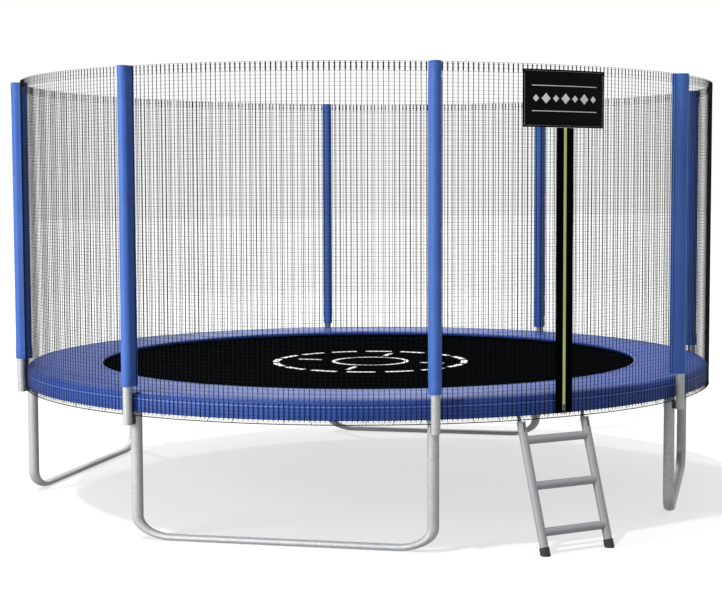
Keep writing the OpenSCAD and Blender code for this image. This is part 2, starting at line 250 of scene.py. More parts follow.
def settle(piece: Object, place: Matrix | None = None) -> None:
    """Moves a piece to its place and applies that place to its mesh.

    Args:
        piece: Object to move.
        place: Where it goes, or none where it already stands there.
    """
    take(piece)
    if place is not None:
        piece.matrix_world = place @ piece.matrix_world
    bpy.ops.object.transform_apply(location=True, rotation=True, scale=True)


def smooth(piece: Object, degrees: float = 40.0) -> None:
    """Shades a piece smooth where its faces meet at less than an angle, 40 degrees as a rule."""
    take(piece)
    bpy.ops.object.shade_smooth_by_angle(angle=math.radians(degrees))


def face_outwards(piece: Object) -> None:
    """Merges doubles and turns every face outwards.

    Args:
        piece: Object to mend.
    """
    pick(piece, lambda point: True)
    bpy.ops.mesh.remove_doubles(threshold=1e-5)
    bpy.ops.mesh.normals_make_consistent(inside=False)
    deselect()


def repeat(piece: Object, places: Sequence[Matrix]) -> list[Object]:
    """Copies a piece to several places, each copy with a mesh of its own.

    Args:
        piece: Piece drawn at the origin. It becomes the first copy.
        places: Where the copies stand.

    Returns:
        The copies, numbered from 1 after the piece's own name.
    """
    name, copies = piece.name, [piece]
    copies += [put(name, piece.data.copy()) for _ in places[1:]]
    for number, (copy, place) in enumerate(zip(copies, places), 1):
        copy.name = copy.data.name = f"{name}_{number}"
        settle(copy, place)
    return copies


def lay_cloth(piece: Object, rule: ClothRule) -> None:
    """Gives a piece a UV map in metres, so that a weave follows its surface.

    Args:
        piece: Mesh to map.
        rule: Takes a point and its face's centre, and gives the two lengths.
    """
    mesh = piece.data
    layer = mesh.uv_layers.get("cloth") or mesh.uv_layers.new(name="cloth")
    for face in mesh.polygons:
        for corner in face.loop_indices:
            point = mesh.vertices[mesh.loops[corner].vertex_index].co
            layer.data[corner].uv = rule(point, face.center)


def drift(*place: float) -> float:
    """Smooth noise from about -1 to 1 at one to three numbers, the same at each run."""
    return noise.noise(Vector((*place, 0.0, 0.0)[:3]))


def blow_up(piece: Object, freedom: Callable[[Vector], float], slack: float, cap: float) -> None:
    """Lets the air in a cloth cover swell it, and keeps the shape that it takes in its mesh.

    Args:
        piece: Closed cover.
        freedom: Takes a point, and gives 0 where the cloth is held down and 1 where it is free.
        slack: Share by which the cloth is cut wider than what it covers, which puckers it.
        cap: Furthest that a point may move.
    """
    deselect()
    scene, points = bpy.context.scene, piece.data.vertices
    held = piece.vertex_groups.new(name="held")
    for point in points:
        held.add([point.index], 1.0 - freedom(point.co), "REPLACE")
    cloth = piece.modifiers.new("cloth", "CLOTH")
    cloth.settings.vertex_group_mass = held.name
    cloth.settings.use_pressure = True
    cloth.settings.uniform_pressure_force = AIR_PRESSURE
    cloth.settings.shrink_min = -slack
    cloth.settings.effector_weights.gravity = 0.0
    cloth.point_cache.frame_start, cloth.point_cache.frame_end = 1, SWELL_FRAMES
    for moment in range(1, SWELL_FRAMES + 1):
        scene.frame_set(moment)
    swollen = piece.evaluated_get(bpy.context.evaluated_depsgraph_get()).data
    moves = [after.co - before.co for before, after in zip(points, swollen.vertices)]
    piece.modifiers.remove(cloth)
    piece.vertex_groups.remove(held)
    scene.frame_set(1)
    for point, move in zip(points, moves):
        point.co += move * min(1.0, cap / max(move.length, 1e-9))
    log.info("%s swells by up to %.1f mm", piece.name, 1000 * max(move.length for move in moves))


def skin(base: int, size: int, count: int, closed: bool) -> list[tuple[int, ...]]:
    """Joins a row of outlines with faces.

    Args:
        base: Number of the first outline's first point.
        size: Points in an outline.
        count: Outlines in the row.
        closed: Whether the last outline joins the first. If not, both ends are capped.

    Returns:
        The faces.
    """
    faces = []
    for i in range(count if closed else count - 1):
        here, there = base + i * size, base + (i + 1) % count * size
        for j in range(size):
            k = (j + 1) % size
            faces.append((here + j, here + k, there + k, there + j))
    if not closed:
        last = base + (count - 1) * size
        faces += [tuple(base + j for j in reversed(range(size))), tuple(last + j for j in range(size))]
    return faces


@dataclass
class Strands:
    """Thin closed tubes, such as cords, stitches and wires, gathered in one mesh."""

    points: list[Vector] = field(default_factory=list)
    faces: list[tuple[int, ...]] = field(default_factory=list)

    def add(
        self, path: Sequence[Vector], radius: float, sides: int = 4,
        across: float = 1.0, up: Vector = UP, ring: bool = False,
    ) -> None:
        """Adds one tube.

        Args:
            path: Points along the tube's middle.
            radius: Half the tube's thickness along up.
            sides: Number of faces round the tube.
            across: Width of the tube as a multiple of its thickness.
            up: Direction that isn't along the path.
            ring: Whether the tube closes on itself.
        """
        count, base = len(path), len(self.points)
        for i, point in enumerate(path):
            before = path[i - 1] if i or ring else point
            after = path[(i + 1) % count] if ring or i + 1 < count else point
            along = (after - before).normalized()
            rise = (up - along * up.dot(along)).normalized()
            side = along.cross(rise)
            for j in range(sides):
                turn = 2 * math.pi * (j + 0.5) / sides
                high, wide = radius * math.cos(turn), radius * across * math.sin(turn)
                self.points.append(point + rise * high + side * wide)
        self.faces += skin(base, sides, count, ring)

    def build(self, name: str) -> Object:
        """Makes the gathered tubes into one piece."""
        return shell(name, self.points, self.faces)


def loft(name: str, rings: Sequence[Sequence[Vector]], closed: bool = False) -> Object:
    """Skins a row of closed outlines into one soft shell.

    Args:
        name: Name of the new piece.
        rings: Outlines with the same number of points.
        closed: Whether the last outline joins the first. If not, both ends are capped.

    Returns:
        The new piece, with its faces turned outwards.
    """
    faces = skin(0, len(rings[0]), len(rings), closed)
    piece = shell(name, [point for ring in rings for point in ring], faces)
    face_outwards(piece)
    return piece


# Finishes ---------------------------------------------------------------------------


def threads(tree: NodeTree, thread_mm: float) -> list[NodeSocket]:
    """Draws the threads of both directions on a cloth's own map.

    Args:
        tree: Node tree of the material.
        thread_mm: Width of a thread.

    Returns:
        The threads along and across the cloth, from 0 in the hollows to 1 on their crowns.
    """
    laid = add_node(tree, "UVMap", uv_map="cloth")
    inputs = {"Vector": laid, "Scale": WAVE_PITCH / (thread_mm / 1000)}
    return [add_node(tree, "TexWave", inputs, "Fac", bands_direction=axis.value) for axis in Axis]


@dataclass(frozen=True)
class Finish:
    """Base of every finish: a named material with one principled shader."""

    name: str
    colour: str

    def make(self) -> Material:
        """Makes the material once.

        Returns:
            The same material at every call.
        """
        material = bpy.data.materials.get(self.name)
        if material is None:
            material = bpy.data.materials.new(self.name)
            material.use_nodes = True
            tree = material.node_tree
            feed(tree, tree.nodes["Principled BSDF"], self.sockets(tree))
        return material

    def sockets(self, tree: NodeTree) -> dict:
        """Makes the finish's nodes, and gives what the shader's sockets take."""
        return {"Base Color": linear(self.colour)}

    def mottle(
        self, tree: NodeTree, pattern: NodeSocket, second: str, low: float, high: float, most: float = 1.0
    ) -> NodeSocket:
        """Brings a second colour in where a pattern is strong.

        Args:
            tree: Node tree of the material.
            pattern: Pattern from 0 to 1.
            second: Hex value of the second colour.
            low: Strength at which the second colour starts.
            high: Strength from which it has its largest share.
            most: That share.

        Returns:
            The mixed colour.
        """
        share = add_node(
            tree, "MapRange", {"Value": pattern, "From Min": low, "From Max": high, "To Max": most}
        )
        colours = {0: share, 6: linear(self.colour), 7: linear(second)}
        return add_node(tree, "Mix", colours, 2, data_type="RGBA")


@dataclass(frozen=True)
class CoatedCloth(Finish):
    """PVC-coated polyester: a glossy skin that lets a plain weave show through.

    The weave is drawn at 3 to 4 mm, about three times its real size, so that it shows.
    """

    faded: str
    thread_mm: float = 4.0
    thread_dark: float = 0.9
    thread_light: float = 1.06
    dent_mm: float = 0.25
    dent_bump: float = 0.35
    patch_mm: float = 454.5
    patch_low: float = 0.38
    patch_high: float = 0.75
    crease_mm: float = 180.0
    crease_deep: float = 0.012
    crease_bump: float = 0.5
    roughness: float = 0.42
    smoother: float = 0.06
    rougher: float = 0.1
    gloss: float = 0.4

    def sockets(self, tree: NodeTree) -> dict:
        """Makes the weave, the sun-faded patches and the soft creases.

        Args:
            tree: Node tree of the material.

        Returns:
            What the shader's sockets take.
        """
        warp, weft = threads(tree, self.thread_mm)
        weave = add_node(tree, "Math", {0: warp, 1: weft}, operation="MULTIPLY")
        place = add_node(tree, "TexCoord", output="Object")
        wide = {"Vector": place, "Scale": 1000 / self.patch_mm, "Detail": 5.0, "Roughness": 0.6}
        patches = add_node(tree, "TexNoise", wide, "Fac")
        soft = {"Vector": place, "Scale": 1000 / self.crease_mm, "Detail": 3.0, "Distortion": 0.6}
        creases = add_node(tree, "TexNoise", soft, "Fac")
        shade = {"Value": weave, "To Min": self.thread_dark, "To Max": self.thread_light}
        thread = add_node(tree, "MapRange", shade)
        worn = self.mottle(tree, patches, self.faded, self.patch_low, self.patch_high)
        rough = {
            "Value": patches, "To Min": self.roughness - self.smoother,
            "To Max": self.roughness + self.rougher,
        }
        dents = {"Height": weave, "Strength": self.dent_bump, "Distance": self.dent_mm / 1000}
        folds = {
            "Height": creases, "Strength": self.crease_bump, "Distance": self.crease_deep,
            "Normal": add_node(tree, "Bump", dents),
        }
        return {
            "Base Color": add_node(tree, "HueSaturation", {"Value": thread, "Color": worn}),
            "Normal": add_node(tree, "Bump", folds),
            "Roughness": add_node(tree, "MapRange", rough),
            "Specular IOR Level": self.gloss,
        }


@dataclass(frozen=True)
class WovenWeb(Finish):
    """Uncoated woven cloth: tight dull threads that trap the light, with dust in the hollows.

    The threads are drawn at 2.5 to 5 mm, about twice their real size, so that they show.
    """

    dust: str
    dust_low: float = 0.45
    dust_high: float = 0.9
    dust_most: float = 0.5
    thread_mm: float = 5.0
    dent_mm: float = 0.4
    dent_bump: float = 0.5
    patch_mm: float = 333.3
    roughness: float = 0.62

    def sockets(self, tree: NodeTree) -> dict:
        """Makes the weave and the dust.

        Args:
            tree: Node tree of the material.

        Returns:
            What the shader's sockets take.
        """
        warp, weft = threads(tree, self.thread_mm)
        laid = add_node(tree, "UVMap", uv_map="cloth")
        checks = add_node(tree, "TexChecker", {"Vector": laid, "Scale": 1000 / self.thread_mm}, "Fac")
        weave = add_node(tree, "Mix", {0: checks, 2: warp, 3: weft}, data_type="FLOAT")
        place = add_node(tree, "TexCoord", output="Object")
        wide = {"Vector": place, "Scale": 1000 / self.patch_mm, "Detail": 6.0, "Roughness": 0.65}
        patches = add_node(tree, "TexNoise", wide, "Fac")
        dents = {"Height": weave, "Strength": self.dent_bump, "Distance": self.dent_mm / 1000}
        dusty = (self.dust, self.dust_low, self.dust_high, self.dust_most)
        return {
            "Base Color": self.mottle(tree, patches, *dusty),
            "Normal": add_node(tree, "Bump", dents),
            "Roughness": self.roughness,
            "Specular IOR Level": 0.0,
        }


@dataclass(frozen=True)
class ZincedSteel(Finish):
    """Galvanised, plated or cast zinc: dull metal with crystal spangles and handling marks."""

    shade: str
    shade_low: float = 0.08
    shade_high: float = 0.5
    shade_most: float = 0.55
    spangle_mm: float = 14.0
    mark_mm: float = 111.1
    dent_mm: float = 0.4
    dent_bump: float = 0.12
    roughness: float = 0.46
    smoother: float = 0.1
    rougher: float = 0.12
    metallic: float = 0.75

    def sockets(self, tree: NodeTree) -> dict:
        """Makes the spangles, the marks and the uneven gloss.

        Args:
            tree: Node tree of the material.

        Returns:
            What the shader's sockets take.
        """
        place = add_node(tree, "TexCoord", output="Object")
        flakes = {"Vector": place, "Scale": 1000 / self.spangle_mm}
        grey = add_node(tree, "RGBToBW", {"Color": add_node(tree, "TexVoronoi", flakes, "Color")})
        wide = {"Vector": place, "Scale": 1000 / self.mark_mm, "Detail": 8.0, "Roughness": 0.7}
        marks = add_node(tree, "TexNoise", wide, "Fac")
        blend = add_node(tree, "Math", {0: grey, 1: marks}, operation="MULTIPLY")
        rough = {
            "Value": marks, "To Min": self.roughness - self.smoother,
            "To Max": self.roughness + self.rougher,
        }
        dents = {"Height": marks, "Strength": self.dent_bump, "Distance": self.dent_mm / 1000}
        shaded = (self.shade, self.shade_low, self.shade_high, self.shade_most)
        return {
            "Base Color": self.mottle(tree, blend, *shaded),
            "Normal": add_node(tree, "Bump", dents),
            "Roughness": add_node(tree, "MapRange", rough),
            "Metallic": self.metallic,
        }


@dataclass(frozen=True)
class Moulded(Finish):
    """Extruded or moulded polymer or rubber: an even skin with a fine grain and a pale bloom."""

    bloom: str = "34363a"
    bloom_mm: float = 71.43
    bloom_detail: float = 5.0
    bloom_edge: float = 0.5
    bloom_low: float = 0.45
    bloom_high: float = 0.8
    bloom_most: float = 0.6
    grain_mm: float = 0.8
    grain_detail: float = 3.0
    grain_bump: float = 0.25
    dent_mm: float = 0.3
    roughness: float = 0.55
    gloss: float = 0.5

    def sockets(self, tree: NodeTree) -> dict:
        """Makes the grain and the bloom.

        Args:
            tree: Node tree of the material.

        Returns:
            What the shader's sockets take.
        """
        place = add_node(tree, "TexCoord", output="Object")
        fine = {"Vector": place, "Scale": 1000 / self.grain_mm, "Detail": self.grain_detail}
        grain = add_node(tree, "TexNoise", fine, "Fac")
        wide = {"Vector": place, "Scale": 1000 / self.bloom_mm, "Detail": self.bloom_detail}
        cloud = add_node(tree, "TexNoise", wide | {"Roughness": self.bloom_edge}, "Fac")
        dents = {"Height": grain, "Strength": self.grain_bump, "Distance": self.dent_mm / 1000}
        bloomed = (self.bloom, self.bloom_low, self.bloom_high, self.bloom_most)
        return {
            "Base Color": self.mottle(tree, cloud, *bloomed),
            "Normal": add_node(tree, "Bump", dents),
            "Roughness": self.roughness,
            "Specular IOR Level": self.gloss,
        }


@dataclass(frozen=True)
class PowderCoat(Moulded):
    """Baked polyester powder: satin, with a slight orange peel for grain and scuffs for bloom."""

    bloom: str = "b4b6b8"
    bloom_mm: float = 41.67
    bloom_detail: float = 9.0
    bloom_edge: float = 0.75
    bloom_low: float = 0.56
    bloom_high: float = 0.75
    grain_mm: float = 2.857
    grain_detail: float = 2.0
    grain_bump: float = 0.2
    roughness: float = 0.42


# PVC-coated polyester, welded and sewn: an even blue with a soft shine and sun-paled patches.
PAD_CLOTH = CoatedCloth("pad_coated_cloth", "284795", "3654a2", roughness=0.48, gloss=0.25)
# The same cloth drawn tight over foam: lighter, duller, with shorter creases.
SLEEVE_CLOTH = CoatedCloth(
    "sleeve_coated_cloth", "3a60ad", "456cb8", roughness=0.5, gloss=0.25, crease_mm=120.0
)
# A strip of it folded round a cord, coloured paler than the pad as a painted highlight along the pad's
# shoulder.
PIPING_PAINTED_HIGHLIGHT = CoatedCloth("pad_piping_painted_highlight", "5c80d0", "7394d8", roughness=0.4)
# Coated banner cloth in black: nearly no shine, and a close weave.
SIGN_CLOTH = CoatedCloth("sign_coated_cloth", "040506", "08090b", thread_mm=3.0, roughness=0.6, gloss=0.05)
# Woven polypropylene mesh: so open between its threads that it looks deep black.
MAT_CLOTH = WovenWeb("mat_woven_cloth", "050607", "0b0c0e", roughness=0.8)
# Woven polypropylene webbing: black, dull and finely ribbed.
WEBBING = WovenWeb("polypropylene_webbing", "060708", "141518", thread_mm=3.0)
# Woven polyester zip tape: pale lime, dull and finely ribbed.
ZIP_CLOTH = WovenWeb("lime_zip_tape", "d0e096", "bccd85", thread_mm=2.5)
# Nylon zip coil, extruded and set with heat: the tape's colour with small smooth glints.
ZIP_COIL = Moulded("lime_zip_coil", "c4d58a", "d0e0a0", roughness=0.4)
# Knitted polyethylene yarn: black and without shine, so that it reads as a line.
NET_YARN = Moulded("net_polyethylene", "050607", "0c0d0f", roughness=0.7, gloss=0.05)
# Spun polyester sewing thread: a dark blue dotted line on the cloth.
STITCHING = Moulded("polyester_thread", "22345f", "2f467e", roughness=0.6)
# The same thread undyed: pale grey dots on black.
PALE_THREAD = Moulded("pale_thread", "c9ccd2", "b2b6be", roughness=0.6)
# Screen-printing ink: flat white, a little uneven.
WHITE_PRINT = Moulded("screen_print", "e8eaec", "d2d5d9")
# Hot-dip galvanised steel tube: light grey, weathered dull, with faint spangles.
TUBE_STEEL = ZincedSteel("galvanised_tube", "b2b3b4", "989a9b", metallic=0.2)
# Zinc-plated spring wire and bolts: bright grey metal with clear highlights.
WIRE_STEEL = ZincedSteel(
    "zinc_plated_wire", "c9cbcc", "8d9092", spangle_mm=5.0, roughness=0.34, metallic=0.95
)
# Zinc die casting, blackened: dark grey metal with small bright edges.
SLIDER_METAL = ZincedSteel(
    "die_cast_slider", "54575b", "36393c", spangle_mm=3.0, roughness=0.35, metallic=0.9
)
# Powder-coated steel tube: even satin grey, paler where feet and hands rub it.
LADDER_COAT = PowderCoat("grey_powder_coat", "96979a")
# Powder-coated flat steel: a darker satin grey.
HOOK_COAT = PowderCoat("hook_powder_coat", "77797c", roughness=0.38)
# Injection-moulded polypropylene: soft black with a fine grain.
BLACK_PLASTIC = Moulded("black_polypropylene", "1b1c1f")
# Moulded rubber: black and dull.
BLACK_RUBBER = Moulded("moulded_rubber", "121315", roughness=0.7)


def complete(
    piece: Object, finish: Finish, body: Body, nodes: Sequence[str] = ()
) -> None:
    """Gives a new piece its finish and the body that it rides on.

    Args:
        piece: Finished mesh, in place.
        finish: Its finish.
        body: Body that carries it.
        nodes: Solids that it stands for.
    """
    piece.data.materials.clear()
    piece.data.materials.append(finish.make())
    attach(piece, body.value)
    if nodes:
        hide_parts(*nodes)
    log.info("%s: %d faces", piece.name, len(piece.data.polygons))


def coat(nodes: Sequence[str], finish: Finish) -> None:
    """Gives solids that stay in view a better finish.

    Args:
        nodes: Names of the solids.
        finish: Their finish.
    """
    for name in nodes:
        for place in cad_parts[name].material_slots:
            place.material = finish.make()
    log.info("%s on %d solids", finish.name, len(nodes))


# Ring -------------------------------------------------------------------------------


@dataclass(frozen=True)
class Ring:
    """The trampoline's own circle, whose stations carry the legs and the poles."""

    centre_y: float = 0.0
    radius: float = 2.163
    stations: int = 8
    turn: float = 3.0

    @property
    def bay(self) -> float:
        """Angle from one station to the next."""
        return 360.0 / self.stations

    def station(self, number: int) -> float:
        """Angle of a station, counted from 1."""
        return self.bay * (number - 0.5) + self.turn

    def at(self, angle: float, radius: float, z: float = 0.0) -> Vector:
        """Point at an angle, a distance from the ring's centre and a height."""
        turn = math.radians(angle)
        return Vector((radius * math.sin(turn), self.centre_y - radius * math.cos(turn), z))

    def out(self, angle: float) -> Vector:
        """Level direction away from the ring's centre."""
        return Vector((math.sin(math.radians(angle)), -math.cos(math.radians(angle)), 0))

    def place(self, angle: float, radius: float = 0.0) -> Matrix:
        """Where a piece drawn at the origin and facing -Y stands on the ring."""
        return Matrix.Translation(self.at(angle, radius)) @ Matrix.Rotation(math.radians(angle), 4, "Z")

    def stands(self) -> list[Matrix]:
        """Places of pieces that are drawn once and stand at every station."""
        return [self.place(self.station(number)) for number in range(1, self.stations + 1)]

    def arc(self, start: float, reach: float, radius: float, z: float, steps: int) -> list[Vector]:
        """Draws a level arc.

        Args:
            start: Angle of its first point.
            reach: Angle that it covers.
            radius: Distance from the ring's centre.
            z: Height.
            steps: Number of stretches between its points.

        Returns:
            Its points, both ends among them.
        """
        return [self.at(start + reach * i / steps, radius, z) for i in range(steps + 1)]

    def circle(self, radius: float, z: float, steps: int) -> list[Vector]:
        """Evenly spread points round the ring."""
        return self.arc(0.0, 360.0, radius, z, steps)[:-1]

    def reach(self, point: Vector) -> float:
        """Distance of a point from the ring's centre, seen from above."""
        return math.hypot(point.x, point.y - self.centre_y)

    def angle_of(self, point: Vector) -> float:
        """Angle of a point, in degrees."""
        return math.degrees(math.atan2(point.x, self.centre_y - point.y))

    def girth_uv(self, radius: float, top_z: float) -> ClothRule:
        """Lays cloth round the ring: length along it, and out and down across it.

        Args:
            radius: Distance from the centre at which the length is true.
            top_z: Height from which the cloth is measured down.

        Returns:
            The rule for lay_cloth.
        """

        def rule(point: Vector, middle: Vector) -> tuple[float, float]:
            """Gives a corner's two lengths, with all of its face on one side of the seam.

            Args:
                point: Corner of a face.
                middle: The face's centre.

            Returns:
                Length along the ring, and out and down across it.
            """
            turn, face_turn = self.angle_of(point), self.angle_of(middle)
            turn += 360.0 * round((face_turn - turn) / 360.0)
            return math.radians(turn) * radius, self.reach(point) - point.z + top_z

        return rule

    def sew(
        self, row: Strands, radius: float, z_of: Callable[[float], float],
        length: float, gap: float, thick: float, upright: bool = False,
    ) -> None:
        """Sews a row of stitches all the way round.

        Args:
            row: Mesh that takes them.
            radius: Distance of the row from the ring's centre.
            z_of: Height of the cloth at an angle.
            length: Length of a stitch.
            gap: Distance between two stitches.
            thick: Half a stitch's thickness.
            upright: Whether the cloth there stands upright.
        """
        count = round(2 * math.pi * radius / (length + gap))
        half = math.degrees(length / 2 / radius)
        for i in range(count):
            angle = 360.0 * i / count
            ends = [self.at(angle + side * half, radius, z_of(angle)) for side in (-1, 1)]
            row.add(ends, thick, up=self.out(angle) if upright else UP)


# Frame ------------------------------------------------------------------------------


@dataclass
class SteelFrame:
    """Legs, rails, poles and fittings."""

    ring: Ring
    leg_r: float = 0.032
    wall: float = 0.002
    bend: float = 0.200
    flat: float = 0.56
    leg_top_z: float = 0.7397
    sides: int = 32
    bend_steps: int = 14
    near: float = 1e-5

    def leg(self) -> Object:
        """Bends one U leg at the origin: a circle is spun through the bend, drawn out and mirrored.

        Returns:
            The leg.
        """
        half = self.ring.radius * math.sin(math.radians(self.ring.bay / 2))
        start_x = half - self.bend
        piece = primitive(
            "leg_tube", bpy.ops.mesh.primitive_circle_add, vertices=self.sides, radius=self.leg_r,
            location=(start_x, 0, self.leg_r), rotation=(0, math.radians(90), 0),
        )
        pick(piece, lambda point: True)
        bpy.ops.mesh.spin(
            steps=self.bend_steps, angle=math.radians(-90),
            center=(start_x, 0, self.leg_r + self.bend), axis=(0, 1, 0),
        )
        deselect()
        points = piece.data.vertices
        if max(point.co.x for point in points) < half:
            for point in points:
                point.co.x = 2 * start_x - point.co.x
        for point in points:
            point.co.z *= self.flat
        end_z = self.flat * (self.leg_r + self.bend)
        pick(piece, lambda point: point.z > end_z - self.near)
        bpy.ops.mesh.extrude_region_move(TRANSFORM_OT_translate={"value": (0, 0, self.leg_top_z - end_z)})
        pick(piece, lambda point: point.x < start_x + self.near)
        bpy.ops.mesh.extrude_region_move(TRANSFORM_OT_translate={"value": (-start_x, 0, 0)})
        modify(piece, "MIRROR", use_axis=(True, False, False), use_mirror_merge=True, merge_threshold=1e-4)
        face_outwards(piece)
        modify(piece, "SOLIDIFY", thickness=self.wall, offset=-1.0)
        smooth(piece)
        return piece

    def build(self) -> None:
        """Makes the legs and finishes the solids that stay."""
        ring, numbers = self.ring, range(1, self.ring.stations + 1)
        chord = ring.radius * math.cos(math.radians(ring.bay / 2))
        first = ring.bay + ring.turn
        places = [ring.place(first + 2 * ring.bay * i, chord) for i in range(ring.stations // 2)]
        for number, leg in enumerate(repeat(self.leg(), places), 1):
            complete(leg, TUBE_STEEL, Body.FRAME, [f"leg_{number}"])
        coat([f"top_rail_{k}" for k in numbers], TUBE_STEEL)
        coat([f"lower_pole_{k}" for k in numbers], TUBE_STEEL)
        coat(["rail_sockets", "upper_poles"], TUBE_STEEL)
        coat(["pole_saddles", "pole_plugs"], BLACK_PLASTIC)
        coat(["pole_bolts", "mat_rings"], WIRE_STEEL)


@dataclass
class SpringRow:
    """Coil springs between the frame ring and the mat, in small groups."""

    ring: Ring
    z: float = 0.783
    outer_r: float = 2.1423
    inner_r: float = 1.9385
    coil_start_r: float = 2.115
    coil_end_r: float = 1.966
    coil_r: float = 0.0066
    wire_r: float = 0.0014
    shank: float = 0.006
    lean: float = 0.37
    turns: int = 24
    per_turn: int = 7
    per_bay: int = 9
    per_group: int = 3

    def spring(self, strands: Strands, angle: float) -> None:
        """Winds one spring: a hook, the coil and the other hook.

        Args:
            strands: Mesh that takes it.
            angle: Its place round the ring.
        """
        side, out, middle = self.ring.out(angle + 90), self.ring.out(angle), UP * self.z
        path = [middle + out * self.outer_r, middle + out * (self.coil_start_r + self.shank)]
        steps = self.turns * self.per_turn
        for i in range(steps + 1):
            turn = 2 * math.pi * i / self.per_turn
            reach = self.coil_start_r + (self.coil_end_r - self.coil_start_r) * i / steps
            path.append(middle + out * reach + (side * math.cos(turn) + UP * math.sin(turn)) * self.coil_r)
        path += [middle + out * (self.coil_end_r - self.shank), middle + out * self.inner_r]
        strands.add(path, self.wire_r, sides=3, up=side + UP * self.lean)

    def build(self) -> None:
        """Winds one group and copies it round the ring, between the frame and the mat."""
        ring, pitch = self.ring, self.ring.bay / self.per_bay
        strands = Strands()
        for i in range(self.per_group):
            self.spring(strands, (i - (self.per_group - 1) / 2) * pitch)
        group = strands.build("spring_group")
        group.data.materials.append(WIRE_STEEL.make())
        first = ring.station(1) + self.per_group / 2 * pitch
        count = ring.stations * self.per_bay // self.per_group
        middles = [first + i * self.per_group * pitch for i in range(count)]
        for piece, middle in zip(repeat(group, [ring.place(angle) for angle in middles]), middles):
            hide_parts("springs")
            start, end = (ring.at(middle, radius, self.z) for radius in (self.coil_start_r, self.inner_r))
            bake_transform(piece)
        log.info("%d spring groups", count)


# Soft goods -------------------------------------------------------------------------


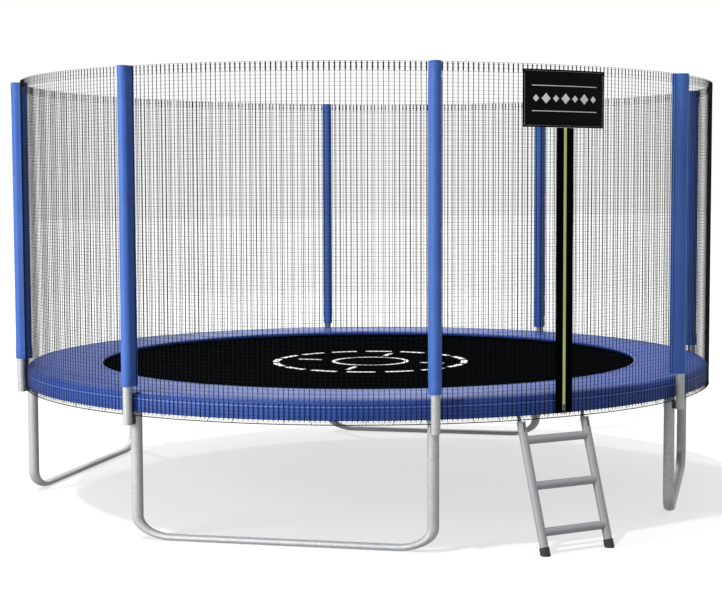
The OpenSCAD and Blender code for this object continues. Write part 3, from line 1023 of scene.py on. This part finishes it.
@dataclass
class SafetyPad:
    """Foam ring in coated cloth, with piping, seams and a hanging skirt."""

    ring: Ring
    inner_r: float = 1.725
    outer_r: float = 2.1966
    under_z: float = 0.7974
    top_z: float = 0.8202
    crown: float = 0.006
    crown_power: float = 0.8
    shoulder: float = 0.038
    inner_round: float = 0.010
    skirt_z: float = 0.711
    skirt_t: float = 0.0013
    skirt_wave: float = 0.0011
    fold: float = 0.0004
    groove_half: float = 0.003
    groove_deep: float = 0.0012
    billow: float = 0.35
    pucker: float = 0.12
    inner_turns: tuple[int, ...] = (195, 180, 155, 130, 105)
    outer_turns: tuple[int, ...] = (78, 65, 52, 39, 26, 13, 0)
    piping_z: float = 0.782
    piping_r: float = 0.0022
    piping_steps: int = 240
    seam_in: float = 0.026
    seam_share: float = 0.04
    seam_out: float = 0.004
    seam_up: float = 0.012
    proud: float = 0.0006
    let_go: float = 0.03
    steps: int = 576
    across: int = 16
    stitch: float = 0.009
    stitch_gap: float = 0.005
    stitch_r: float = 0.0009

    def swell(self, angle: float) -> float:
        """How much the foam stands up or settles at an angle, as a share of its crown."""
        return 1.0 + self.billow * drift(angle * 0.09, 3.1) + self.pucker * drift(angle * 0.6, 7.7)

    def profile(self, angle: float) -> list[tuple[float, float]]:
        """Outline across the pad at an angle, from its inner lower edge over the top and back.

        Args:
            angle: Place round the ring, in degrees.

        Returns:
            Distance from the ring's centre and height of each point.
        """

        def bend(middle: float, radius: float, degrees: float) -> tuple[float, float]:
            """Point of a rounded upper edge, with its angle counted up from level."""
            turn = math.radians(degrees)
            return middle + radius * math.cos(turn), self.top_z - radius * (1 - math.sin(turn))

        rise = self.crown * self.swell(angle)
        start, stop = self.inner_r + self.inner_round, self.outer_r - self.shoulder
        inner = [bend(start, self.inner_round, degrees) for degrees in self.inner_turns]
        top = [
            (start + (stop - start) * i / self.across,
             self.top_z + rise * math.sin(math.pi * i / self.across) ** self.crown_power)
            for i in range(self.across + 1)
        ]
        over = [bend(stop, self.shoulder, degrees) for degrees in self.outer_turns]
        edge = self.outer_r
        waved = edge + self.skirt_wave * drift(angle * 0.35, 1.3)
        skirt = [
            (edge - self.fold, self.piping_z + self.groove_half),
            (edge - self.groove_deep, self.piping_z),
            (edge - self.fold, self.piping_z - self.groove_half),
            (waved, self.skirt_z + 0.03),
            (waved, self.skirt_z + 0.004),
            (waved - self.fold, self.skirt_z),
            (waved - self.skirt_t, self.skirt_z + self.fold),
            (edge - self.skirt_t, self.skirt_z + 0.04),
            (edge - self.skirt_t, self.under_z - 0.001),
        ]
        under = [
            (edge - 0.05, self.under_z),
            (self.inner_r + 0.2, self.under_z),
            (self.inner_r + 0.03, self.under_z),
            (self.inner_r + 0.006, self.under_z + 0.0005),
        ]
        return inner + top + over + skirt + under

    def freedom(self, point: Vector) -> float:
        """Says how free the cloth is: held at the seams and everywhere but on top.

        Args:
            point: Place on the cover.

        Returns:
            0 where it is held and 1 where it is free.
        """
        reach = self.ring.reach(point)
        if point.z < self.top_z - 0.001:
            return 0.0
        inward = reach - self.inner_r - self.seam_in
        outward = self.outer_r - self.shoulder - self.seam_out - reach
        return max(0.0, min(1.0, min(inward, outward) / self.let_go))

    def seam(self, name: str, radius: float, z_of: Callable[[float], float], upright: bool = False) -> None:
        """Sews a row of stitches round the pad.

        Args:
            name: Name of the row.
            radius: Distance of the row from the ring's centre.
            z_of: Height of the surface at an angle.
            upright: Whether the cloth there stands upright.
        """
        row = Strands()
        self.ring.sew(row, radius, z_of, self.stitch, self.stitch_gap, self.stitch_r, upright)
        complete(row.build(name), STITCHING, Body.FRAME)

    def build(self) -> None:
        """Makes the pad, its piping and its seams."""
        rings = []
        for i in range(self.steps):
            angle = 360.0 * i / self.steps
            rings.append([self.ring.at(angle, r, z) for r, z in self.profile(angle)])
        pad = loft("safety_pad_cover", rings, closed=True)
        blow_up(pad, self.freedom, slack=0.004, cap=0.004)
        laid = self.ring.girth_uv(self.inner_r, self.top_z)
        lay_cloth(pad, laid)
        smooth(pad, 50)
        complete(pad, PAD_CLOTH, Body.FRAME, ["safety_pad"])
        piping = Strands()
        line = self.ring.circle(self.outer_r - self.fold, self.piping_z, self.piping_steps)
        piping.add(line, self.piping_r, sides=8, ring=True)
        cord = piping.build("pad_piping")
        lay_cloth(cord, laid)
        smooth(cord, 60)
        # The piping's pale colour is a painted highlight along the pad's shoulder.
        complete(cord, PIPING_PAINTED_HIGHLIGHT, Body.FRAME)
        lift = self.crown * math.sin(math.pi * self.seam_share) ** self.crown_power
        edge, brink = self.inner_r + self.seam_in, self.outer_r - self.shoulder - self.seam_out
        self.seam("pad_inner_seam", edge, lambda angle: self.top_z + lift * self.swell(angle))
        self.seam("pad_outer_seam", brink, lambda angle: self.top_z + self.proud)
        hang_z = self.skirt_z + self.seam_up
        self.seam("pad_skirt_seam", self.outer_r + self.proud, lambda angle: hang_z, upright=True)


@dataclass
class PoleSleeve:
    """Foam tube in coated cloth that hides an upper pole, with a sewn lid."""

    ring: Ring
    near_r: float = 2.1605
    width: float = 0.062
    depth: float = 0.101
    bore_r: float = 0.0252
    low_z: float = 0.850
    top_z: float = 2.578
    hem_outline: Outline = ((0.006, 0.0015), (0.0022, 0.0), (0.0006, 0.002), (0.0, 0.007))
    lid_outline: Outline = ((0.0, -0.007), (0.0006, -0.002), (0.0022, 0.0), (0.009, 0.0005))
    end: float = 0.03
    held: float = 0.02
    let_go: float = 0.05
    puff: float = 0.0014
    piping_r: float = 0.0013
    points: int = 48
    steps: int = 168
    stitch: float = 0.010
    stitch_pitch: float = 0.016
    stitch_r: float = 0.0008
    seam_end: float = 0.04

    def outline(self, inset: float, z: float, swell: float = 0.0) -> list[Vector]:
        """Draws the flat oval round the sleeve, in the sleeve's own axes.

        Args:
            inset: How far it is drawn in from the sleeve's full size.
            z: Height.
            swell: How far the cloth puffs out at most.

        Returns:
            Its points.
        """
        radius = self.width / 2 - inset
        straight = self.depth - self.width
        bend = math.pi * radius
        points = []
        for i in range(self.points):
            along = (2 * bend + 2 * straight) * i / self.points
            if along < bend:
                turn = along / radius
                side, out = radius * math.cos(turn), -radius * math.sin(turn)
            elif along < bend + straight:
                side, out = -radius, along - bend
            elif along < 2 * bend + straight:
                turn = (along - bend - straight) / radius
                side, out = -radius * math.cos(turn), straight + radius * math.sin(turn)
            else:
                side, out = radius, straight - (along - 2 * bend - straight)
            grow = swell * drift(30.0 * side, 30.0 * out, z * 4.0)
            side += math.copysign(max(grow, -0.001), side) * min(1.0, abs(side) / radius)
            if out > 0:
                out += grow * 0.6
            points.append(Vector((side, -(self.near_r + self.width / 2 + out), z)))
        return points

    def bore(self, z: float) -> list[Vector]:
        """Circle round the pole, in the outer half, with its points in line with the outline's."""
        middle = Vector((0, -(self.near_r + self.depth - self.width / 2), z))
        return [middle + (point - middle).normalized() * self.bore_r for point in self.outline(0.0, z)]

    def cover(self) -> Object:
        """Makes the covered foam, from inside the bore out over the sides to the lid.

        Returns:
            The swollen cover.
        """
        low, top = self.low_z, self.top_z
        rings = [self.bore(top - 0.0068), self.bore(low + 0.003)]
        rings += [self.outline(inset, low + rise) for inset, rise in self.hem_outline]
        side_low, side_top = low + self.end, top - self.end
        for i in range(self.steps + 1):
            rings.append(self.outline(0.0, side_low + (side_top - side_low) * i / self.steps, self.puff))
        rings += [self.outline(inset, top + rise) for inset, rise in self.lid_outline]
        cover = loft("pole_sleeve_cover", rings)
        blow_up(cover, self.freedom, slack=0.006, cap=0.0015)
        middle = self.near_r + self.width / 2

        def rule(point: Vector, face: Vector) -> tuple[float, float]:
            """Gives a corner's two lengths, with all of its face on one side of the seam.

            Args:
                point: Corner of a face.
                face: The face's centre.

            Returns:
                Length round the sleeve and height.
            """
            turn, face_turn = (math.atan2(p.x, -p.y - middle) for p in (point, face))
            turn += 2 * math.pi * round((face_turn - turn) / (2 * math.pi))
            return turn * self.depth / 2, point.z

        lay_cloth(cover, rule)
        smooth(cover, 45)
        return cover

    def freedom(self, point: Vector) -> float:
        """Says how free the cloth is: held in the bore and at both ends, free between.

        Args:
            point: Place on the cover.

        Returns:
            0 where it is held and 1 where it is free.
        """
        middle = self.near_r + self.depth - self.width / 2
        if math.hypot(point.x, point.y + middle) < self.bore_r + 0.001:
            return 0.0
        from_end = min(point.z - self.low_z, self.top_z - point.z)
        return max(0.0, min(1.0, (from_end - self.held) / self.let_go))

    def piping(self) -> Object:
        """Makes the raised seams round the lid and over the hem.

        Returns:
            Both as one piece.
        """
        cords = Strands()
        for z in (self.top_z - 0.0065, self.low_z + 0.016):
            cords.add(self.outline(0.0002, z), self.piping_r, sides=5, ring=True)
        piece = cords.build("sleeve_piping")
        lay_cloth(piece, lambda point, face: (point.x, point.z))
        smooth(piece, 60)
        return piece

    def seam(self) -> Object:
        """Sews the cloth shut along one side.

        Returns:
            The row of stitches.
        """
        stitches = Strands()
        side, y = self.width / 2 + 0.0004, 0.004 - self.near_r - self.width / 2
        for i in range(int((self.top_z - self.low_z - 2 * self.seam_end) / self.stitch_pitch)):
            z = self.low_z + self.seam_end + i * self.stitch_pitch
            ends = [Vector((side, y, z)), Vector((side, y, z + self.stitch))]
            stitches.add(ends, self.stitch_r, up=Vector((1, 0, 0)))
        return stitches.build("sleeve_seam")

    def build(self) -> None:
        """Makes one sleeve and copies it to every pole."""
        places = self.ring.stands()
        for number, cover in enumerate(repeat(self.cover(), places), 1):
            complete(cover, SLEEVE_CLOTH, Body.FRAME, [f"pole_sleeve_{number}"])
        for pattern, finish in ((self.piping(), SLEEVE_CLOTH), (self.seam(), STITCHING)):
            for piece in repeat(pattern, places):
                complete(piece, finish, Body.FRAME)


@dataclass
class SafetyNet:
    """Knitted net in eight panels, with a stitched top hem and a laced lower edge.

    A panel is drawn round the origin, from one pole to the next, and copied to each bay.
    """

    ring: Ring
    radius: float = 2.2005
    low_z: float = 0.702
    skirt_z: float = 0.7135
    sleeve_z: float = 0.846
    band_z: float = 2.527
    top_z: float = 2.5765
    notch: float = 0.0322
    columns: int = 62
    row_gap: float = 0.0195
    warp_r: float = 0.00134
    warp_across: float = 1.65
    warp_steps: int = 9
    wander: float = 0.0012
    weft_r: float = 0.00075
    weft_wave: float = 0.0008
    arc_steps: int = 15
    dash_r: float = 0.0019
    dash_across: float = 2.0
    hem_steps: int = 24
    cord_z: float = 0.690
    cord_r: float = 0.0026
    cord_steps: int = 240
    loops: int = 8 * 110
    loop_r: float = 0.0011
    loop_line: tuple[tuple[float, float, float], ...] = (
        (0.0, 0.0008, 0.6895), (0.5, 0.0, 0.701), (1.1, 0.0024, 0.714)
    )
    ties: int = 96
    tie_r: float = 0.0014
    tie_low_z: float = 0.692
    tie_high_z: float = 0.7445
    tie_past: float = 0.0125
    strand_share: float = 0.31

    @property
    def home(self) -> Ring:
        """The same ring round the origin, where the first panel is drawn."""
        return Ring()

    def middle(self, column: int) -> float:
        """Angle of an upright strand in the panel."""
        return (column + 0.5) * self.ring.bay / self.columns

    def short(self, column: int) -> bool:
        """Whether an upright strand stops under a sleeve in its way."""
        angle = self.middle(column)
        return math.radians(min(angle, self.ring.bay - angle)) * self.radius < self.notch + 0.004

    def warp(self, strands: Strands, column: int) -> None:
        """Hangs one upright strand with a slight wander.

        Args:
            strands: Mesh that takes it.
            column: Strand in the panel.
        """
        middle = self.middle(column)
        high_z = self.sleeve_z if self.short(column) else self.top_z
        path = []
        for i in range(self.warp_steps + 1):
            z = self.low_z + (high_z - self.low_z) * i / self.warp_steps
            loose = math.sin(math.pi * i / self.warp_steps) ** 0.5
            aside = self.wander * drift(column * 0.37, z * 1.7) * loose
            path.append(self.home.at(middle + math.degrees(aside / self.radius), self.radius, z))
        wide = self.warp_across * (1.0 + 0.12 * drift(column * 1.91, 0.5))
        strands.add(path, self.warp_r, across=wide, up=self.ring.out(middle))

    def mesh(self) -> Object:
        """Knits the panel.

        Returns:
            Its upright strands and the finer ones across them.
        """
        strands = Strands()
        for column in range(self.columns):
            self.warp(strands, column)
        notch = math.degrees(self.notch / self.radius)
        for row in range(int((self.band_z - self.skirt_z) / self.row_gap) + 3):
            z = self.skirt_z + row * self.row_gap
            start = notch if z > self.sleeve_z else 0.0
            line = self.home.arc(start, self.ring.bay - 2 * start, self.radius - 0.0003, z, self.arc_steps)
            for i, point in enumerate(line):
                point.z += self.weft_wave * drift(i * 0.8, row * 1.3)
            strands.add(line, self.weft_r, sides=3)
        return strands.build("net_mesh")

    def hem(self) -> Object:
        """Runs two cords along the top and binds them with a thick stitch over every long strand.

        Returns:
            The hem of one panel.
        """
        stitches = Strands()
        for column in range(self.columns):
            if not self.short(column):
                angle = self.middle(column)
                low_z = self.band_z + 0.003 + 0.004 * drift(column * 0.9, 2.0)
                ends = [self.home.at(angle, self.radius, z) for z in (low_z, self.top_z - 0.004)]
                stitches.add(ends, self.dash_r, sides=6, across=self.dash_across, up=self.ring.out(angle))
        start = math.degrees(self.notch / self.radius)
        for z, thick in ((self.top_z, 0.0008), (self.band_z, 0.0009)):
            line = self.home.arc(start, self.ring.bay - 2 * start, self.radius, z, self.hem_steps)
            stitches.add(line, thick, sides=5)
        return stitches.build("net_hem")

    def panels(self) -> None:
        """Copies the panel to the eight bays between the poles."""
        places = self.ring.stands()
        for number, mesh in enumerate(repeat(self.mesh(), places), 1):
            complete(mesh, NET_YARN, Body.FRAME, [f"net_panel_{number}"])
        for hem in repeat(self.hem(), places):
            complete(hem, NET_YARN, Body.FRAME, ["net_top_band"])

    def edges(self) -> None:
        """Runs the hem cord under the net and laces it to the net and to the ring."""
        ring, lacing = self.ring, Strands()
        lacing.add(ring.circle(self.radius, self.cord_z, self.cord_steps), self.cord_r, sides=6, ring=True)
        step = 360.0 / self.loops
        for i in range(self.loops):
            angle = 360.0 * i / self.loops
            loop = [ring.at(angle + step * turn, self.radius - inset, z) for turn, inset, z in self.loop_line]
            lacing.add(loop, self.loop_r, sides=3)
        for i in range(self.ties):
            angle = ring.station(1) + (i + 0.5) * 360.0 / self.ties
            low = ring.at(angle, self.radius - 0.001, self.tie_low_z)
            ends = [low, ring.at(angle, ring.radius + self.tie_past, self.tie_high_z)]
            lacing.add(ends, self.tie_r, sides=5, up=ring.out(angle + 90))
        complete(lacing.build("net_lower_lacing"), NET_YARN, Body.FRAME, ["net_lacing"])

    def build(self) -> None:
        """Makes all panels and edges."""
        self.panels()
        self.edges()


@dataclass
class Entrance:
    """Strip over the door seam, zip and panel above it."""

    ring: Ring
    net_r: float = 2.2023
    low_z: float = 0.712
    strip_w: float = 0.110
    strip_t: float = 0.0016
    strip_wave: float = 0.0012
    strip_gap: float = 0.0006
    tape_w: float = 0.017
    tape_t: float = 0.0009
    tape_low_z: float = 0.729
    ribbon_steps: int = 40
    tooth_w: float = 0.0068
    tooth_pitch: float = 0.0055
    tooth_r: float = 0.0009
    sign_w: float = 0.525
    sign_h: float = 0.305
    sign_z: float = 2.245
    sign_r: float = 2.2024
    sign_t: float = 0.0018
    sign_columns: int = 24
    sign_rows: int = 10
    edge: float = 0.009
    stitch_pitch: float = 0.012
    stitch_half: float = 0.0038
    stitch_r: float = 0.0006
    print_t: float = 0.0003
    diamonds: int = 7
    diamond_pitch: float = 0.062
    diamond_r: tuple[float, float] = (0.019, 0.028)
    line_half: float = 0.21
    line_steps: int = 16
    line_rises: tuple[float, float] = (0.28, 0.72)

    @property
    def high_z(self) -> float:
        """Upper end of the ribbons, under the panel."""
        return self.sign_z - 0.001

    @property
    def front_r(self) -> float:
        """Distance of the panel's stitches and print from the ring's centre."""
        return self.sign_r + self.sign_t + 0.0009

    def ribbon(self, name: str, width: float, thick: float, y: float, low_z: float, wave: float) -> Object:
        """Sews a narrow flat ribbon that hangs on the net.

        Args:
            name: Name of the piece.
            width: Width of the ribbon.
            thick: Its thickness.
            y: Place of its inner face.
            low_z: Lower end.
            wave: How far its edges wander sideways.

        Returns:
            The ribbon, with its cloth laid out.
        """
        rings = []
        for i in range(self.ribbon_steps + 1):
            z = low_z + (self.high_z - low_z) * i / self.ribbon_steps
            left = -width / 2 + wave * drift(z * 3.0, 1.0)
            right = width / 2 + wave * drift(z * 3.0, 9.0)
            front = y - thick
            crown = front - 0.0006 * (1 + drift(z * 5.0, 4.0)) * 0.5
            outline = (
                (left, y), (right, y), (right, front),
                (right * 0.5, crown), (left * 0.5, crown), (left, front),
            )
            rings.append([Vector((across, out, z)) for across, out in outline])
        piece = loft(name, rings)
        lay_cloth(piece, lambda point, face: (point.x, point.z))
        smooth(piece, 35)
        return piece

    def zip(self, y: float) -> None:
        """Lays the light tape and its coil of teeth down the strip.

        Args:
            y: Place of the tape's inner face.
        """
        tape = self.ribbon("zip_tape_cloth", self.tape_w, self.tape_t, y, self.tape_low_z, 0.0)
        complete(tape, ZIP_CLOTH, Body.FRAME, ["zip_tape"])
        length = self.high_z - self.tape_low_z
        teeth = Strands()
        front, half = y - self.tape_t - self.tooth_r, self.tooth_w / 2
        for i in range(int(length / self.tooth_pitch) - 1):
            z = self.tape_low_z + (i + 0.5) * self.tooth_pitch
            teeth.add([Vector((-half, front, z)), Vector((half, front, z + 0.0018))], self.tooth_r)
        complete(teeth.build("zip_teeth"), ZIP_COIL, Body.FRAME)

    def sign(self) -> None:
        """Makes the panel of banner cloth."""
        half = math.degrees(self.sign_w / 2 / self.sign_r)
        out_r = self.sign_r + self.sign_t
        heights = [j / self.sign_rows for j in range(self.sign_rows + 1)]
        rings = []
        for i in range(self.sign_columns + 1):
            angle = -half + 2 * half * i / self.sign_columns
            reaches = [(share, out_r + 0.0006 * drift(angle, share * 9.0, 2.0)) for share in heights]
            reaches += [(share, self.sign_r) for share in reversed(heights)]
            rings.append([self.ring.at(angle, r, self.sign_z + self.sign_h * share) for share, r in reaches])
        panel = loft("sign_cloth", rings)
        lay_cloth(panel, lambda point, face: (point.x, point.z))
        smooth(panel, 35)
        complete(panel, SIGN_CLOTH, Body.FRAME, ["sign_panel"])

    def border(self) -> None:
        """Sews along the panel's four edges."""
        stitches, ring, front_r = Strands(), self.ring, self.front_r
        halves = (-self.stitch_half, self.stitch_half)
        level = int((self.sign_w - 2 * self.edge) / self.stitch_pitch)
        for z in (self.sign_z + self.edge, self.sign_z + self.sign_h - self.edge):
            for i in range(level):
                middle = -self.sign_w / 2 + self.edge + (i + 0.5) * self.stitch_pitch
                ends = [ring.at(math.degrees((middle + side) / front_r), front_r, z) for side in halves]
                stitches.add(ends, self.stitch_r, up=ring.out(0))
        upright = int((self.sign_h - 2 * self.edge) / self.stitch_pitch)
        for side in (-1, 1):
            angle = math.degrees(side * (self.sign_w / 2 - self.edge) / front_r)
            for i in range(upright):
                z = self.sign_z + self.edge + (i + 0.5) * self.stitch_pitch
                ends = [ring.at(angle, front_r, z + rise) for rise in halves]
                stitches.add(ends, self.stitch_r, up=ring.out(angle))
        complete(stitches.build("sign_stitches"), PALE_THREAD, Body.FRAME)

    def pattern(self) -> None:
        """Prints a plain row of diamonds between two lines."""
        ink, ring, front_r = Strands(), self.ring, self.front_r
        inner_r, outer_r = front_r - self.print_t, front_r + self.print_t
        xs = [-self.line_half + 2 * self.line_half * i / self.line_steps for i in range(self.line_steps + 1)]
        for rise in self.line_rises:
            line = [ring.at(math.degrees(x / front_r), front_r, self.sign_z + self.sign_h * rise) for x in xs]
            ink.add(line, self.print_t, across=9.0, up=ring.out(0))
        z = self.sign_z + self.sign_h / 2
        for i in range(self.diamonds):
            angle = math.degrees((i - self.diamonds // 2) * self.diamond_pitch / front_r)
            ends = [ring.at(angle, radius, z) for radius in (inner_r, outer_r)]
            ink.add(ends, self.diamond_r[i % 2], up=UP + ring.out(angle + 90))
        piece = ink.build("sign_print")
        for point in piece.data.vertices:
            reach = min(max(ring.reach(point.co), inner_r), outer_r)
            point.co = ring.at(ring.angle_of(point.co), reach, point.co.z)
        complete(piece, WHITE_PRINT, Body.FRAME)

    def build(self) -> None:
        """Makes the strip, the zip and the sign."""
        y = self.ring.centre_y - self.net_r
        size = (self.strip_w, self.strip_t)
        strip = self.ribbon("entrance_strip_cloth", *size, y, self.low_z, self.strip_wave)
        complete(strip, WEBBING, Body.FRAME, ["entrance_strip"])
        self.zip(y - self.strip_t - self.strip_gap)
        self.sign()
        self.border()
        self.pattern()
        coat(["zip_slider"], SLIDER_METAL)


@dataclass
class JumpingMat:
    """Woven mat with a sewn hem and a printed jumping target."""

    ring: Ring
    radius: float = 1.8755
    top_z: float = 0.784
    thickness: float = 0.002
    steps: int = 144
    insets: int = 8
    hem_w: float = 0.030
    hem_t: float = 0.005
    hem_top_z: float = 0.7855
    stitch: float = 0.010
    stitch_gap: float = 0.006
    stitch_r: float = 0.0006
    print_t: float = 0.0003
    target_r: float = 0.62
    target_across: float = 95.0
    target_dashes: int = 16
    target_dash: float = 16.5
    inner_target_r: float = 0.24
    inner_target_across: float = 60.0
    bars: int = 4
    bar_ends: tuple[float, float] = (0.34, 0.50)
    bar_across: float = 70.0

    def cloth(self) -> None:
        """Cuts the round cloth: a disc inset into rings and given its thickness."""
        mat = primitive(
            "mat_cloth", bpy.ops.mesh.primitive_circle_add, vertices=self.steps, radius=self.radius,
            fill_type="NGON", location=(0, self.ring.centre_y, self.top_z),
        )
        pick(mat, lambda middle: True, faces=True)
        for _ in range(self.insets):
            bpy.ops.mesh.inset(thickness=self.radius / (self.insets + 1))
        face_outwards(mat)
        if mat.data.polygons[0].normal.z < 0:
            pick(mat, lambda middle: True, faces=True)
            bpy.ops.mesh.flip_normals()
        modify(mat, "SOLIDIFY", thickness=self.thickness, offset=-1.0)
        lay_cloth(mat, lambda point, face: (point.x, point.y))
        complete(mat, MAT_CLOTH, Body.MAT, ["jump_mat"])

    def hem(self) -> None:
        """Folds the webbing round the mat's edge and sews it down."""
        inner, outer = self.radius + 0.0002, self.radius + self.hem_w
        low_z, top_z = self.hem_top_z - self.hem_t, self.hem_top_z
        outline = (
            (inner, low_z + 0.001), (inner, top_z - 0.001), (inner + 0.001, top_z), (outer - 0.002, top_z),
            (outer, top_z - 0.002), (outer, low_z + 0.002), (outer - 0.002, low_z), (inner + 0.001, low_z),
        )
        rings = []
        for i in range(self.steps):
            angle = 360.0 * i / self.steps
            rings.append([self.ring.at(angle, r, z) for r, z in outline])
        hem = loft("mat_hem_cloth", rings, closed=True)
        lay_cloth(hem, self.ring.girth_uv(self.radius, self.top_z))
        smooth(hem, 40)
        complete(hem, WEBBING, Body.MAT, ["mat_hem"])
        rows = Strands()
        run = (self.stitch, self.stitch_gap, self.stitch_r)
        for radius in (inner + 0.004, outer - 0.006):
            self.ring.sew(rows, radius, lambda angle: top_z + 0.0002, *run)
        complete(rows.build("mat_hem_stitches"), PALE_THREAD, Body.MAT)

    def target(self) -> None:
        """Prints a broken ring, a small ring and four short bars."""
        ink, z = Strands(), self.top_z + self.print_t
        pitch = 360.0 / self.target_dashes
        for i in range(self.target_dashes):
            start = pitch * i + (pitch - self.target_dash) / 2
            dash = self.ring.arc(start, self.target_dash, self.target_r, z, 8)
            ink.add(dash, self.print_t, across=self.target_across)
        inner = self.ring.circle(self.inner_target_r, z, 72)
        ink.add(inner, self.print_t, across=self.inner_target_across, ring=True)
        for i in range(self.bars):
            angle = 360.0 / self.bars * (i + 0.5)
            bar = [self.ring.at(angle, radius, z) for radius in self.bar_ends]
            ink.add(bar, self.print_t, across=self.bar_across)
        complete(ink.build("mat_target_print"), WHITE_PRINT, Body.MAT)

    def build(self) -> None:
        """Makes the mat, its hem and its print."""
        self.cloth()
        self.hem()
        self.target()


@dataclass
class Ladder:
    """Hooked-on ladder, whose solids keep their shape."""

    rungs: int = 3

    def build(self) -> None:
        """Finishes rails, rungs, hooks and caps."""
        coat(["ladder_rail_left", "ladder_rail_right"], LADDER_COAT)
        coat([f"rung_{k}" for k in range(1, self.rungs + 1)], LADDER_COAT)
        coat(["ladder_hooks"], HOOK_COAT)
        coat(["ladder_foot_left", "ladder_foot_right"], BLACK_RUBBER)


# Stage ------------------------------------------------------------------------------


def seen(tree: NodeTree) -> NodeSocket:
    """Tells the rays that show a thing to the camera, straight, in metal or through glass.

    Args:
        tree: Node tree of a material or of the world.

    Returns:
        1 for such a ray, and 0 for one that only carries light.
    """
    shown = add_node(tree, "LightPath", output="Is Camera Ray")
    for kind in ("Is Glossy Ray", "Is Transmission Ray"):
        ray = add_node(tree, "LightPath", output=kind)
        shown = add_node(tree, "Math", {0: shown, 1: ray}, operation="MAXIMUM")
    return shown


@dataclass(frozen=True)
class StudioPaint(Finish):
    """Matt wall paint, rolled on: even grey with no shine, lifted to white for the camera."""

    glow: float = 0.655
    roughness: float = 0.9
    gloss: float = 0.1

    def sockets(self, tree: NodeTree) -> dict:
        """Makes the lift, which leaves the shadows to be seen.

        Args:
            tree: Node tree of the material.

        Returns:
            What the shader's sockets take.
        """
        return {
            "Base Color": linear(self.colour),
            "Roughness": self.roughness,
            "Specular IOR Level": self.gloss,
            "Emission Color": (1, 1, 1, 1),
            "Emission Strength": add_node(tree, "Math", {0: seen(tree), 1: self.glow}, operation="MULTIPLY"),
        }


@dataclass(frozen=True)
class Lamp:
    """One lamp: how far right, ahead and up of the trampoline's middle it hangs, and its light.

    Its power is in watts, or for a sun the light on a face that looks at it. Its spread is the
    side of its square in metres, or for a sun its angle in degrees.
    """

    name: str
    kind: str
    right: float
    ahead: float
    up: float
    power: float
    spread: float


@dataclass
class Studio:
    """Pale floor, soft lamps and the camera."""

    ring: Ring
    azimuth: float = 28.259
    distance: float = 10.400
    height: float = 1.931
    pan: float = -2.487
    tilt: float = 4.219
    focal_px: float = 1584.1
    axis_px: float = 438.8
    picture_px: float = 722.0
    sensor_mm: float = 36.0
    ambient: float = 0.5
    middle_z: float = 1.2
    clip_m: float = 200.0
    floor_m: float = 160.0
    floor_z: float = -0.0002
    floor_paint: StudioPaint = StudioPaint("studio_floor_paint", "9b9b9b")
    lamps: tuple[Lamp, ...] = (
        Lamp("top_sun", "SUN", right=-0.29, ahead=-0.20, up=0.78, power=1.9, spread=2.5),
        Lamp("rear_sun", "SUN", right=-0.37, ahead=0.56, up=0.78, power=1.1, spread=3.0),
        Lamp("key_lamp", "AREA", right=-6.4, ahead=-5.6, up=1.4, power=490.0, spread=3.0),
        Lamp("back_lamp", "AREA", right=-0.5, ahead=18.0, up=4.6, power=330.0, spread=6.0),
    )

    @property
    def right(self) -> Vector:
        """Level direction to the right of the picture."""
        turn = math.radians(self.azimuth)
        return Vector((math.cos(turn), -math.sin(turn), 0))

    @property
    def ahead(self) -> Vector:
        """Level direction from the camera to the trampoline."""
        turn = math.radians(self.azimuth)
        return Vector((math.sin(turn), math.cos(turn), 0))

    def camera(self) -> None:
        """Stands the camera at the entrance's left and makes it the scene's."""
        lens = bpy.data.cameras.new("camera")
        lens.sensor_width = self.sensor_mm
        lens.lens = self.focal_px / self.picture_px * self.sensor_mm
        lens.shift_x = 0.5 - self.axis_px / self.picture_px
        lens.clip_end = self.clip_m
        stand = put("camera", lens)
        stand.location = self.ring.at(0, 0, self.height) - self.ahead * self.distance
        stand.rotation_euler = (math.radians(90 - self.tilt), 0, math.radians(self.pan - self.azimuth))
        bpy.context.scene.camera = stand

    def hang(self, lamp: Lamp) -> None:
        """Hangs one lamp, which faces the trampoline's middle.

        Args:
            lamp: Lamp to hang.
        """
        light = bpy.data.lights.new(lamp.name, lamp.kind)
        light.energy = lamp.power
        if lamp.kind == "SUN":
            light.angle = math.radians(lamp.spread)
        else:
            light.size = lamp.spread
        away = UP * lamp.up + self.right * lamp.right + self.ahead * lamp.ahead
        hung = put(lamp.name, light)
        hung.location = self.ring.at(0, 0, self.middle_z) + away
        hung.visible_camera = False
        hung.rotation_euler = (-away).to_track_quat("-Z", "Y").to_euler()

    def world(self) -> None:
        """Makes an even pale surround that is white in the picture itself."""
        world = bpy.data.worlds.new("surround")
        bpy.context.scene.world = world
        world.use_nodes = True
        tree = world.node_tree
        tree.nodes.clear()
        light, white = (
            add_node(tree, "Background", {"Color": (1, 1, 1, 1), "Strength": strength})
            for strength in (self.ambient, 1.0)
        )
        mix = add_node(tree, "MixShader", {0: seen(tree), 1: light, 2: white})
        feed(tree, tree.nodes.new("ShaderNodeOutputWorld"), {"Surface": mix})

    def floor(self) -> None:
        """Lays a wide pale floor that keeps the shadows."""
        plane = bpy.ops.mesh.primitive_plane_add
        floor = primitive("studio_floor", plane, size=self.floor_m, location=(0, 0, self.floor_z))
        floor.data.materials.append(self.floor_paint.make())

    def build(self) -> None:
        """Makes the stage."""
        bpy.context.scene.view_settings.view_transform = "Standard"
        self.camera()
        self.world()
        self.floor()
        for lamp in self.lamps:
            self.hang(lamp)


def main() -> None:
    """Builds the dressed trampoline and its stage."""
    logging.basicConfig(level=logging.INFO, format="%(name)s: %(message)s")
    low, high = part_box("safety_pad")
    ring = Ring(centre_y=(low.y + high.y) / 2)
    Studio(ring).build()
    SteelFrame(ring).build()
    SpringRow(ring).build()
    SafetyPad(ring).build()
    PoleSleeve(ring).build()
    SafetyNet(ring).build()
    Entrance(ring).build()
    JumpingMat(ring).build()
    Ladder().build()
    deselect()


if __name__ == "__main__":
    main()
